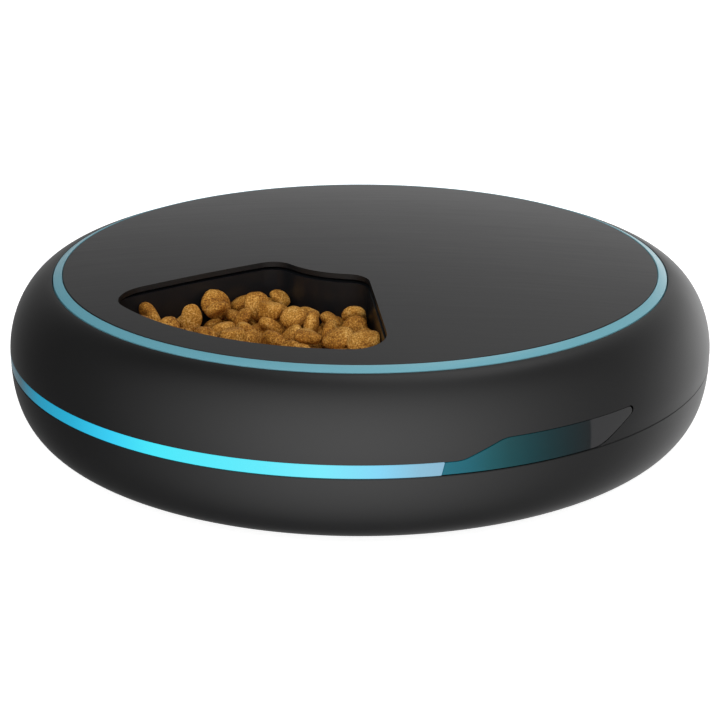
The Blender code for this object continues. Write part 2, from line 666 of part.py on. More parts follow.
def make_turntable(surfaces, home, cutters):
    """The turntable with its drive dog, the gear below the deck, the bush and the index magnets."""
    hub_end = GEAR_TOP + GAP
    table = Shape("turntable", lathe([
        (0.0, TABLE_TOP), (TABLE_RADIUS, TABLE_TOP), (TABLE_RADIUS, TABLE_BOTTOM),
        (HUB_RADIUS, TABLE_BOTTOM), (HUB_RADIUS, hub_end), (0.0, hub_end),
    ], 36), surfaces["white_plastic"], home, cutters)
    table.join(hexagon(DOG_RADIUS, TABLE_TOP - OVERRUN, TABLE_TOP + DOG_HEIGHT))
    table.join(hexagon(HUB_KEY_RADIUS, GEAR_BOTTOM, hub_end + OVERRUN))
    table.cut(disc(BUSH_OUTER + GAP, GEAR_BOTTOM - OVERRUN, TABLE_TOP + OVERRUN, 24))
    table.cut(disc(DOG_BORE, TABLE_TOP, TABLE_TOP + DOG_HEIGHT + OVERRUN, 24))
    for index, azimuth in enumerate(compartment_azimuths(), 1):
        spot = polar(MAGNET_CIRCLE, azimuth)
        table.cut(placed(disc(MAGNET_RADIUS + GAP, TABLE_BOTTOM - OVERRUN, TABLE_BOTTOM + MAGNET_HEIGHT + GAP,
                              12), at(spot.x, spot.y)))
        add_object(f"index_magnet_{index}",
                   placed(disc(MAGNET_RADIUS, TABLE_BOTTOM, TABLE_BOTTOM + MAGNET_HEIGHT, 12),
                          at(spot.x, spot.y)), surfaces["steel"], home)
    add_object("hub_bush", tube(BUSH_OUTER, BUSH_INNER, GEAR_BOTTOM, TABLE_TOP, 24), surfaces["steel"], home)
    gear = Shape("drive_gear", prism(gear_outline(GEAR_TEETH, 0.0), GEAR_BOTTOM, GEAR_TOP),
                 surfaces["white_plastic"], home, cutters)
    gear.cut(hexagon(HUB_KEY_RADIUS + 1.2 * GAP, GEAR_BOTTOM - OVERRUN, GEAR_TOP + OVERRUN))
    add_object("glide_ring", tube(GLIDE_OUTER, GLIDE_INNER, GLIDE_BOTTOM, GLIDE_BOTTOM + GLIDE_THICKNESS, 32),
               surfaces["white_plastic"], home)


def gear_outline(teeth, turn):
    """An involute gear's outline with stub teeth; one tooth points along +X before the turn in degrees."""
    pitch_radius = GEAR_MODULE * teeth / 2
    base_radius = pitch_radius * math.cos(math.radians(PRESSURE_ANGLE))
    tip = pitch_radius + ADDENDUM * GEAR_MODULE
    root = pitch_radius - DEDENDUM * GEAR_MODULE
    half_tooth = (math.pi * GEAR_MODULE / 2 - BACKLASH) / 2 / pitch_radius

    def involute(radius):
        angle = math.acos(min(base_radius / radius, 1.0))
        return math.tan(angle) - angle

    radii = [max(base_radius, root), (pitch_radius + tip) / 2, tip] if teeth < 20 else [root, tip]
    flank = [(radius, half_tooth + involute(pitch_radius) - involute(radius)) for radius in radii]
    if root < base_radius:
        flank.insert(0, (root, flank[0][1]))
    outline = []
    for tooth in range(teeth):
        middle = math.radians(turn) + 2 * math.pi * tooth / teeth
        outline += [(r * math.cos(middle - half), r * math.sin(middle - half)) for r, half in flank]
        outline += [(r * math.cos(middle + half), r * math.sin(middle + half)) for r, half in reversed(flank)]
    return outline


# ================================================================ housing
def case_screw_spots():
    """Where the case screws stand, between the feet."""
    step = 360 / CASE_SCREW_COUNT
    return [polar(CASE_SCREW_CIRCLE, step / 2 + step * index) for index in range(CASE_SCREW_COUNT)]


def display_screw_spots():
    """Across and up, where the display board's screws stand."""
    return [(-DISPLAY_SCREW_SPREAD, DISPLAY_SCREW_HEIGHT), (DISPLAY_SCREW_SPREAD, DISPLAY_SCREW_HEIGHT)]


def shell_inside(top):
    """The housing's inner face, from near the lip down to the strip."""
    outer = shoulder(top) + [(body_radius(STRIP_BOTTOM), STRIP_BOTTOM)]
    inside = [point for point in inward(outer, WALL) if point[0] > LIP_RADIUS + WALL]
    inside[-1] = (inside[-1][0], STRIP_BOTTOM)
    return inside


def make_upper_housing(surfaces, home, cutters):
    """The shoulder shell with the lid's seat, the tray well and the deck in one moulding."""
    lip = RIM_HEIGHT - GAP
    outer = shoulder(lip) + [(body_radius(STRIP_BOTTOM), STRIP_BOTTOM)]
    well_outer = WELL_RADIUS + WALL
    under_ledge = LEDGE_HEIGHT - WALL
    inside = [point for point in shell_inside(lip) if point[1] < under_ledge]
    housing = Shape("upper_housing", lathe(outer + list(reversed(inside)) + [
        (inside[0][0], under_ledge), (well_outer, under_ledge), (well_outer, DECK_BOTTOM),
        (DECK_HOLE_RADIUS, DECK_BOTTOM), (DECK_HOLE_RADIUS, DECK_TOP + COLLAR_HEIGHT),
        (DECK_HOLE_RADIUS + WALL, DECK_TOP + COLLAR_HEIGHT), (DECK_HOLE_RADIUS + WALL, DECK_TOP),
        (WELL_RADIUS, DECK_TOP), (WELL_RADIUS, LEDGE_HEIGHT), (LIP_RADIUS, LEDGE_HEIGHT), (LIP_RADIUS, lip),
    ]), surfaces["black_plastic"], home, cutters)
    for spot in case_screw_spots():
        housing.join(placed(disc(CASE_SHANK_RADIUS + POST_WALL + GAP, case_post_top() + GAP, DECK_TOP - WALL / 2),
                            at(spot.x, spot.y)))
        housing.cut(placed(disc(CASE_SHANK_RADIUS + GAP, BASE_FLOOR, DECK_BOTTOM - WALL), at(spot.x, spot.y)))
    post_radius = SMALL_SHANK_RADIUS + DISPLAY_POST_WALL
    screw_end = DISPLAY_BOARD_FACE - BOARD_THICKNESS + DISPLAY_SCREW_LENGTH + GAP
    wall_radius = shoulder_radius(DISPLAY_SCREW_HEIGHT + post_radius) - WALL / 4
    post_end = math.sqrt(wall_radius ** 2 - (DISPLAY_SCREW_SPREAD + post_radius) ** 2)
    for across, height in display_screw_spots():
        place = facing(WINDOW_AZIMUTH) @ at(across, height)
        housing.join(placed(disc(post_radius, DISPLAY_BOARD_FACE + GAP, post_end), place))
        housing.cut(placed(disc(SMALL_SHANK_RADIUS + GAP, DISPLAY_BOARD_FACE - GAP, screw_end), place))
    housing.cut(seam_slice(STRIP_END - 0.2, STRIP_START, STRIP_BOTTOM - WALL, STRIP_TOP + GAP))
    housing.cut(window_mesh(GAP))
    for index in range(KEY_COUNT):
        housing.cut(key_block(index, GAP, LEDGE_HEIGHT + GAP))


def case_post_top():
    """Top of the base's screw posts."""
    return BASE_FLOOR + CASE_HEAD_RADIUS * 2.5


def case_screw_seat():
    """Where a case screw's head bears, inside its post."""
    return case_post_top() - WALL


def small_posts():
    """Spots, tops and screw-hole depths of the base's small posts: two for the gearbox, four for the board."""
    posts = []
    reach = GEARBOX_SIZE[1] / 2 + 2 * POST_WALL
    for side in (-1, 1):
        posts.append((Vector((0.0, PINION_OFFSET + side * reach, 0.0)), EAR_BOTTOM - GAP))
    width, length = CONTROL_BOARD_SIZE
    for side_x in (-1, 1):
        for side_y in (-1, 1):
            spot = Vector((CONTROL_BOARD_X + side_x * (width / 2 - BOARD_SCREW_INSET),
                           side_y * (length / 2 - BOARD_SCREW_INSET), 0.0))
            posts.append((spot, BOARD_HEIGHT - GAP))
    return posts


def make_lower_base(surfaces, home, cutters):
    """The bowl under everything, with the battery opening, posts, foot recesses and the socket's hole."""
    outer = skirt(SEAM_HEIGHT)
    inside = inward(outer, WALL)
    inside = [(radius, z) for radius, z in inside if z > BASE_FLOOR + 0.5 * MM]
    inside[0] = (inside[0][0], SEAM_HEIGHT)
    floor_radius = BODY_RADIUS - SKIRT_REACH
    base = Shape("lower_base", lathe(outer + [(0.0, FOOT_STANDOFF), (0.0, BASE_FLOOR), (floor_radius, BASE_FLOOR)]
                                     + list(reversed(inside))), surfaces["black_plastic"], home, cutters)
    sink = FOOT_STANDOFF + WALL / 2
    for spot in case_screw_spots():
        move = at(spot.x, spot.y)
        base.join(placed(disc(CASE_HEAD_RADIUS + GAP + POST_WALL, sink, case_post_top()), move))
        base.cut(placed(disc(CASE_HEAD_RADIUS + GAP, 0.0, case_screw_seat()), move))
        base.cut(placed(disc(CASE_SHANK_RADIUS + GAP, 0.0, case_post_top() + OVERRUN), move))
    for spot, top in small_posts():
        move = at(spot.x, spot.y)
        base.join(placed(disc(SMALL_SHANK_RADIUS + GAP + POST_WALL, sink, top, 16), move))
        base.cut(placed(disc(SMALL_SHANK_RADIUS + GAP, BASE_FLOOR - WALL / 3, top + OVERRUN, 12), move))
    base.join(disc(SPINDLE_RADIUS * 2.2, sink, GEAR_BOTTOM - GAP, 24))
    base.cut(disc(SPINDLE_RADIUS + RUNNING_CLEARANCE, BASE_FLOOR, GEAR_BOTTOM + OVERRUN, 24))
    for spot in foot_spots():
        base.cut(placed(disc(FOOT_RADIUS + GAP, 0.0, FOOT_STANDOFF + FOOT_RECESS, 24), at(spot.x, spot.y)))
    base.cut(block((BATTERY_X - door_half_x() - GAP, -door_half_y() - GAP, 0.0),
                   (BATTERY_X + door_half_x() + GAP, door_half_y() + GAP, BASE_FLOOR + OVERRUN)))
    base.cut(placed(disc(SOCKET_NOZZLE + GAP, BODY_RADIUS - 15 * MM, BODY_RADIUS + 5 * MM, 20),
                    facing(180) @ at(0.0, SOCKET_HEIGHT)))


def door_half_x():
    """Half the battery door's width."""
    return BATTERY_HALF_X - DOOR_MARGIN


def door_half_y():
    """Half the battery door's length."""
    return BATTERY_HALF_Y - DOOR_MARGIN


def foot_spots():
    """Where the feet stand."""
    return [polar(FOOT_CIRCLE, FOOT_CLOCKING + 360 / FOOT_COUNT * index) for index in range(FOOT_COUNT)]


def make_feet(surfaces, home):
    """Rubber feet pressed into the base's recesses."""
    top = FOOT_STANDOFF + FOOT_RECESS - GAP
    for index, spot in enumerate(foot_spots(), 1):
        mesh = lathe([(0.0, top), (FOOT_RADIUS, top), (FOOT_RADIUS, FOOT_ROUND),
                      (FOOT_RADIUS - FOOT_ROUND, 0.0), (0.0, 0.0)], 24)
        add_object(f"foot_{index}", placed(mesh, at(spot.x, spot.y)), surfaces["rubber"], home)


# ================================================================ light strip and display
def make_light_strip(surfaces, home, cutters):
    """The light guide in the seam and the strip of lamps behind it."""
    inner = BODY_RADIUS - STRIP_THICKNESS
    guide = Shape("accent_light_guide", lathe([
        (body_radius(BELLY_HEIGHT), STRIP_TOP), (BODY_RADIUS, BELLY_HEIGHT),
        (body_radius(STRIP_BOTTOM), STRIP_BOTTOM), (inner, STRIP_BOTTOM), (inner, STRIP_TOP),
    ]), surfaces["light_guide"], home, cutters)
    guide.keep(seam_slice(STRIP_END, STRIP_START - 0.2, STRIP_BOTTOM - WALL, STRIP_TOP + WALL))
    guide.cut(window_mesh(GAP))
    lamps_outer = inner - GAP
    lamps = Shape("led_strip", tube(lamps_outer, lamps_outer - LED_STRIP_THICKNESS,
                                    STRIP_BOTTOM + LED_STRIP_MARGIN, STRIP_TOP - LED_STRIP_MARGIN),
                  surfaces["white_plastic"], home, cutters)
    lamps.keep(seam_slice(STRIP_END + 2, 9.0, STRIP_BOTTOM - WALL, STRIP_TOP + WALL))


def make_display(surfaces, home, cutters):
    """The smoked window, the board behind it and the digits."""
    outer = shoulder(WINDOW_TOP + 4 * MM, 5) + [(body_radius(SEAM_HEIGHT), SEAM_HEIGHT)]
    inside = inward(outer, WINDOW_THICKNESS)
    window = Shape("display_window", lathe(outer + list(reversed(inside))), surfaces["smoked_window"], home,
                   cutters)
    window.keep(window_mesh(0.0))
    place = facing(WINDOW_AZIMUTH)
    width, height = DISPLAY_BOARD_SIZE
    back = DISPLAY_BOARD_FACE - BOARD_THICKNESS
    middle = (WINDOW_BOTTOM + WINDOW_TOP) / 2
    low = WINDOW_BOTTOM + 2 * MM
    board = Shape("display_board", placed(block((-width / 2, low, back),
                                                (width / 2, low + height, DISPLAY_BOARD_FACE)), place),
                  surfaces["circuit_board"], home, cutters)
    for across, up in display_screw_spots():
        spot = place @ at(across, up)
        board.cut(placed(disc(SMALL_SHANK_RADIUS + GAP, back - OVERRUN, DISPLAY_BOARD_FACE + OVERRUN, 12), spot))
    digit_width, digit_height, digit_depth = DIGIT_SIZE
    front = DISPLAY_BOARD_FACE + GAP
    add_object("digit_display", placed(block((-digit_width / 2, middle - digit_height / 2, front),
                                             (digit_width / 2, middle + digit_height / 2, front + digit_depth)),
                                       place), surfaces["white_plastic"], home)
    for index, (across, up) in enumerate(display_screw_spots(), 1):
        seat = place @ at(across, up, back - GAP)
        add_object(f"display_screw_{index}", placed(screw_mesh(SMALL_HEAD_RADIUS, SMALL_SHANK_RADIUS,
                                                               DISPLAY_SCREW_LENGTH), seat), surfaces["steel"], home)


# ================================================================ drive
def make_drive(surfaces, home, cutters):
    """The spindle with its clip, the gearbox with motor, and the pinion on its shaft."""
    clip_bottom = TABLE_TOP + GAP
    groove = clip_bottom - GAP / 2
    spindle_top = clip_bottom + CLIP_THICKNESS + 2 * MM
    neck = SPINDLE_RADIUS * 0.8
    add_object("spindle", lathe([
        (0.0, spindle_top), (SPINDLE_RADIUS, spindle_top), (SPINDLE_RADIUS, clip_bottom + CLIP_THICKNESS + GAP / 2),
        (neck, clip_bottom + CLIP_THICKNESS + GAP / 2), (neck, groove), (SPINDLE_RADIUS, groove),
        (SPINDLE_RADIUS, BASE_FLOOR + GAP), (0.0, BASE_FLOOR + GAP),
    ], 24), surfaces["steel"], home)
    add_object("spindle_clip", tube(SPINDLE_RADIUS * 1.5, neck + GAP, clip_bottom,
                                    clip_bottom + CLIP_THICKNESS, 20), surfaces["steel"], home)

    width, length, height = GEARBOX_SIZE
    top = GEARBOX_BOTTOM + height
    reach = length / 2 + 4 * POST_WALL
    gearbox = Shape("gearbox", placed(block((-width / 2, -length / 2, GEARBOX_BOTTOM),
                                            (width / 2, length / 2, top)), at(0.0, PINION_OFFSET)),
                    surfaces["white_plastic"], home, cutters)
    gearbox.join(placed(block((-EAR_HALF_WIDTH, -reach, EAR_BOTTOM),
                              (EAR_HALF_WIDTH, reach, EAR_BOTTOM + WALL)), at(0.0, PINION_OFFSET)))
    gearbox.cut(placed(disc(SHAFT_RADIUS + GAP, top - 6 * MM, top + OVERRUN), at(0.0, PINION_OFFSET)))
    seats = [spot for spot, _ in small_posts()[:2]]
    for index, spot in enumerate(seats, 1):
        gearbox.cut(placed(disc(SMALL_SHANK_RADIUS + GAP, EAR_BOTTOM - OVERRUN, EAR_BOTTOM + WALL + OVERRUN, 12),
                           at(spot.x, spot.y)))
        hang = at(spot.x, spot.y, EAR_BOTTOM + WALL + GAP) @ Matrix.Rotation(math.pi, 4, "X")
        add_object(f"gearbox_screw_{index}", placed(screw_mesh(SMALL_HEAD_RADIUS, SMALL_SHANK_RADIUS,
                                                               GEARBOX_SCREW_LENGTH),
                                                    hang), surfaces["steel"], home)
    axis = at(width / 2 + GAP, PINION_OFFSET, GEARBOX_BOTTOM + height / 2) @ Matrix.Rotation(math.pi / 2, 4, "Y")
    motor = Shape("drive_motor", placed(disc(MOTOR_RADIUS, 0.0, MOTOR_LENGTH, 24), axis), surfaces["steel"],
                  home, cutters)
    motor.join(placed(disc(MOTOR_RADIUS * 0.4, MOTOR_LENGTH - OVERRUN, MOTOR_LENGTH + 2 * MM, 16), axis))

    turn = 180 / PINION_TEETH
    pinion = Shape("motor_pinion", prism(gear_outline(PINION_TEETH, turn), GEAR_BOTTOM, GEAR_TOP),
                   surfaces["white_plastic"], home, cutters)
    pinion.cut(disc(SHAFT_RADIUS + GAP, GEAR_BOTTOM - OVERRUN, GEAR_TOP + OVERRUN))
    pinion.thing.location = (0.0, PINION_OFFSET, 0.0)
    for tool in pinion.thing.modifiers:
        tool.object.location = (0.0, PINION_OFFSET, 0.0)
    shaft = add_object("output_shaft", disc(SHAFT_RADIUS, top - 5 * MM, GEAR_TOP + OVERRUN), surfaces["steel"],
                       home)
    shaft.location = (0.0, PINION_OFFSET, 0.0)


# ================================================================ power and control
def make_control_board(surfaces, home, cutters):
    """The main board on its posts, with its larger components, and the position sensor under the deck."""
    width, length = CONTROL_BOARD_SIZE
    low_x = CONTROL_BOARD_X - width / 2
    top = BOARD_HEIGHT + BOARD_THICKNESS
    board = Shape("control_board", block((low_x, -length / 2, BOARD_HEIGHT), (low_x + width, length / 2, top)),
                  surfaces["circuit_board"], home, cutters)
    root = BOARD_HEIGHT + BOARD_THICKNESS / 2
    parts = [
        (block((-8 * MM, -8 * MM, root), (8 * MM, 8 * MM, top + 1.5 * MM)), (2 * MM, 4 * MM)),
        (block((-4 * MM, -7 * MM, root), (4 * MM, 7 * MM, top + 6 * MM)), (20 * MM, -14 * MM)),
        (block((-4 * MM, -7 * MM, root), (4 * MM, 7 * MM, top + 6 * MM)), (20 * MM, 14 * MM)),
        (disc(4 * MM, root, top + 11 * MM, 16), (-16 * MM, 20 * MM)),
        (disc(4 * MM, root, top + 11 * MM, 16), (-16 * MM, 9 * MM)),
        (disc(6 * MM, root, top + 7 * MM, 20), (-14 * MM, -18 * MM)),
    ]
    for mesh, (x, y) in parts:
        board.join(placed(mesh, at(CONTROL_BOARD_X + x, y)))
    for index, (spot, _) in enumerate(small_posts()[2:], 1):
        board.cut(placed(disc(SMALL_SHANK_RADIUS + GAP, BOARD_HEIGHT - OVERRUN, top + OVERRUN, 12),
                         at(spot.x, spot.y)))
        hang = at(spot.x, spot.y, top + GAP) @ Matrix.Rotation(math.pi, 4, "X")
        add_object(f"board_screw_{index}", placed(screw_mesh(SMALL_HEAD_RADIUS, SMALL_SHANK_RADIUS,
                                                            BOARD_SCREW_LENGTH),
                                                  hang), surfaces["steel"], home)
    sensor = DECK_BOTTOM - GAP
    spot = polar(MAGNET_CIRCLE, SERVING_AZIMUTH)
    board = Shape("position_sensor_board", placed(block((-7 * MM, -5 * MM, sensor - BOARD_THICKNESS),
                                                        (7 * MM, 5 * MM, sensor)), at(spot.x, spot.y)),
                  surfaces["circuit_board"], home, cutters)
    board.join(placed(block((-2 * MM, -2 * MM, sensor - BOARD_THICKNESS - 1.2 * MM),
                            (2 * MM, 2 * MM, sensor - BOARD_THICKNESS / 2)), at(spot.x, spot.y)))


def make_power(surfaces, home, cutters):
    """The battery box with four cells and their contacts, the door, and the supply socket."""
    bottom = BASE_FLOOR + GAP
    box = Shape("battery_box", block((BATTERY_X - BATTERY_HALF_X, -BATTERY_HALF_Y, bottom),
                                     (BATTERY_X + BATTERY_HALF_X, BATTERY_HALF_Y, BOX_TOP)),
                surfaces["black_plastic"], home, cutters)
    box.cut(block((BATTERY_X - BATTERY_HALF_X + BOX_WALL, -BATTERY_HALF_Y + BOX_WALL, 0.0),
                  (BATTERY_X + BATTERY_HALF_X - BOX_WALL, BATTERY_HALF_Y - BOX_WALL, BOX_TOP - BOX_WALL)))
    column = CELL_RADIUS + CELL_GAP / 2
    half_x, half_z = CONTACT_HALF_SIZE
    number = 0
    for side in (-1, 1):
        for end in (-1, 1):
            number += 1
            near = end * CELL_GAP / 2
            lie = at(BATTERY_X + side * column, near, CELL_CENTRE_HEIGHT) @ Matrix.Rotation(-end * math.pi / 2,
                                                                                         4, "X")
            body = CELL_LENGTH - CELL_NUB_HEIGHT
            add_object(f"battery_cell_{number}", placed(lathe([
                (0.0, CELL_LENGTH), (CELL_NUB_RADIUS, CELL_LENGTH), (CELL_NUB_RADIUS, body),
                (CELL_RADIUS - CELL_EDGE, body), (CELL_RADIUS, body - CELL_EDGE), (CELL_RADIUS, 0.0), (0.0, 0.0),
            ], SMALL_STEPS), lie), surfaces["cell_jacket"], home)
            wall = end * (BATTERY_HALF_Y - BOX_WALL - GAP)
            inner = wall - end * CONTACT_THICKNESS
            add_object(f"battery_contact_{number}", block(
                (BATTERY_X + side * column - half_x, min(wall, inner), CELL_CENTRE_HEIGHT - half_z),
                (BATTERY_X + side * column + half_x, max(wall, inner), CELL_CENTRE_HEIGHT + half_z)),
                surfaces["steel"], home)

    hinge = bpy.data.objects.new("battery_door_hinge", None)
    hinge.location = (BATTERY_X, -door_half_y(), FOOT_STANDOFF)
    home.objects.link(hinge)
    door = Shape("battery_door", block((-door_half_x(), 0.0, 0.0), (door_half_x(), 2 * door_half_y(),
                                                                    DOOR_THICKNESS)),
                 surfaces["black_plastic"], home, cutters)
    door.cut(placed(disc(DOOR_GRIP_RADIUS, -OVERRUN, DOOR_GRIP_DEPTH, 24),
                    at(0.0, 2 * door_half_y() - DOOR_GRIP_INSET)))
    for part in [door.thing] + [tool.object for tool in door.thing.modifiers]:
        part.parent = hinge

    width, depth, height = SOCKET_SIZE
    place = facing(180) @ at(0.0, SOCKET_HEIGHT)
    socket = Shape("dc_socket", placed(block((-width / 2, -height / 2, SOCKET_FACE - depth),
                                             (width / 2, height / 2, SOCKET_FACE)), place),
                   surfaces["black_plastic"], home, cutters)
    mouth = BODY_RADIUS - WALL
    socket.join(placed(disc(SOCKET_NOZZLE, SOCKET_FACE - OVERRUN, mouth), place))
    socket.cut(placed(disc(SOCKET_BORE, SOCKET_FACE - SOCKET_DEPTH, mouth + OVERRUN), place))
    socket.join(placed(disc(SOCKET_PIN, SOCKET_FACE - SOCKET_DEPTH - OVERRUN, mouth - OVERRUN, 12), place))


def make_case_screws(surfaces, home):
    """The screws that hold the two housing halves together."""
    for index, spot in enumerate(case_screw_spots(), 1):
        seat = at(spot.x, spot.y, case_screw_seat() - GAP)
        add_object(f"case_screw_{index}", placed(screw_mesh(CASE_HEAD_RADIUS, CASE_SHANK_RADIUS,
                                                            CASE_SCREW_LENGTH), seat),
                   surfaces["steel"], home)


def make_leads(surfaces, home):
    """Leads from the control board to the motor and to the supply socket."""
    board_edge = CONTROL_BOARD_X + CONTROL_BOARD_SIZE[0] / 2 + LEAD_RADIUS
    run = BOARD_HEIGHT + 3 * MM
    motor_end = -GEARBOX_SIZE[0] / 2 - 2 * GAP
    add_object("motor_lead", wire_run([
        (board_edge, 14 * MM, run), (board_edge + 8 * MM, 18 * MM, run), (motor_end - 8 * MM, PINION_OFFSET, run),
        (motor_end, PINION_OFFSET, run)], LEAD_RADIUS), surfaces["insulation"], home)
    socket_back = SOCKET_FACE - SOCKET_SIZE[1] - GAP
    add_object("supply_lead", wire_run([
        (CONTROL_BOARD_X + 10 * MM, CONTROL_BOARD_SIZE[1] / 2 + LEAD_RADIUS, run),
        (CONTROL_BOARD_X + 14 * MM, 70 * MM, run), (-30 * MM, 110 * MM, run + 4 * MM),
        (0.0, socket_back - 10 * MM, SOCKET_HEIGHT), (0.0, socket_back - GAP, SOCKET_HEIGHT)], LEAD_RADIUS),
        surfaces["insulation"], home)


def main():
    """Build the feeder, sub-part by sub-part."""
    clear_scene()
    surfaces = make_materials()
    home = collection("automatic_pet_feeder")
    cutters = collection("cutters")
    make_lid(surfaces, home, cutters)
    make_tray(surfaces, home, cutters)
    make_turntable(surfaces, home, cutters)
    make_upper_housing(surfaces, home, cutters)
    make_lower_base(surfaces, home, cutters)
    make_feet(surfaces, home)
    make_light_strip(surfaces, home, cutters)
    make_display(surfaces, home, cutters)
    make_drive(surfaces, home, cutters)
    make_control_board(surfaces, home, cutters)
    make_power(surfaces, home, cutters)
    make_case_screws(surfaces, home)
    make_leads(surfaces, home)


main()
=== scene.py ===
"""Looks of the automatic pet feeder: smooth shells, loose dry food, finishes, light and camera.

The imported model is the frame. Lengths are metres, +Z is up and the display side faces -Y. An azimuth
starts at -Y and grows towards +X.
"""
import json
import logging
import math
import random
from dataclasses import dataclass, field
from enum import Enum

import bmesh
import bpy
from mathutils import Matrix, Vector

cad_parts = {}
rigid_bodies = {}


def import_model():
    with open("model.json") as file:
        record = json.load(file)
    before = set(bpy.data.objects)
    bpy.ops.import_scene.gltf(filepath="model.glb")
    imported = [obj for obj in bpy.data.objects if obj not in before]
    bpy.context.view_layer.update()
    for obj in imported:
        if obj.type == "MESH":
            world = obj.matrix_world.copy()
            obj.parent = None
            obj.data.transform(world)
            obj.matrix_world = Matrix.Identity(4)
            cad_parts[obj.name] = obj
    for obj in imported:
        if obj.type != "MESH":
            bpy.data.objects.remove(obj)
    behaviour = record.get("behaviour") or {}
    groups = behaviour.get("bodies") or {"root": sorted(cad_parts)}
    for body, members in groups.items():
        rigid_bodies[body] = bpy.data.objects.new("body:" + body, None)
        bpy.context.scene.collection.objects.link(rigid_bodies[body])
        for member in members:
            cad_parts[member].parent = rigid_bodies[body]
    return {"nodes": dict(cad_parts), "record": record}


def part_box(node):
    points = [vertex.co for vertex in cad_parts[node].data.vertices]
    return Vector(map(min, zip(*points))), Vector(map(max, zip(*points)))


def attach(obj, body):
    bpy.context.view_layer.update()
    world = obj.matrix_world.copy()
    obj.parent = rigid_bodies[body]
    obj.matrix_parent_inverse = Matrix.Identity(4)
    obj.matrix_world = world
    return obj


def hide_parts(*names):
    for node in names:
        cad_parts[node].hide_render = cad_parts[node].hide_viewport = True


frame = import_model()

logging.basicConfig(level=logging.INFO, format="%(message)s")
LOG = logging.getLogger("feeder")

MM = 0.001
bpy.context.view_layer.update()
Point = tuple[float, float]


def tone(red: float, green: float, blue: float) -> tuple[float, float, float]:
    """A linear colour from screen values of 0 to 255."""
    shares = (red / 255, green / 255, blue / 255)
    return tuple(share / 12.92 if share <= 0.04045 else ((share + 0.055) / 1.055) ** 2.4 for share in shares)


class Body(Enum):
    """The moving bodies that a piece can ride on."""

    HOUSING = "housing"
    LID = "lid"
    TRAY = "tray"
    PINION = "pinion"
    DOOR = "battery_door"


# ---------------------------------------------------------------- shader building
class Wire:
    """A node's output that takes part in expressions; each operator adds a Math node."""

    def __init__(self, tree: bpy.types.NodeTree, socket: bpy.types.NodeSocket) -> None:
        """Wrap a socket.

        Args:
            tree: the node tree that the socket is in.
            socket: the output socket.
        """
        self.tree = tree
        self.socket = socket

    def _math(self, operation: str, *values: "Wire | float") -> "Wire":
        """Add one Math node and return its result."""
        node = self.tree.nodes.new("ShaderNodeMath")
        node.operation = operation
        for slot, value in zip(node.inputs, values):
            if isinstance(value, Wire):
                self.tree.links.new(value.socket, slot)
            else:
                slot.default_value = value
        return Wire(self.tree, node.outputs[0])

    def __add__(self, other: "Wire | float") -> "Wire":
        """Sum."""
        return self._math("ADD", self, other)

    def __radd__(self, other: float) -> "Wire":
        """Sum with a number on the left."""
        return self._math("ADD", other, self)

    def __sub__(self, other: "Wire | float") -> "Wire":
        """Difference."""
        return self._math("SUBTRACT", self, other)

    def __rsub__(self, other: float) -> "Wire":
        """Difference with a number on the left."""
        return self._math("SUBTRACT", other, self)

    def __mul__(self, other: "Wire | float") -> "Wire":
        """Product."""
        return self._math("MULTIPLY", self, other)

    def __rmul__(self, other: float) -> "Wire":
        """Product with a number on the left."""
        return self._math("MULTIPLY", other, self)

    def clamped(self) -> "Wire":
        """The value held between 0 and 1."""
        made = self._math("ADD", self, 0.0)
        made.socket.node.use_clamp = True
        return made

    def atan2(self, other: "Wire") -> "Wire":
        """The angle whose tangent is this over the other, in radians."""
        return self._math("ARCTAN2", self, other)


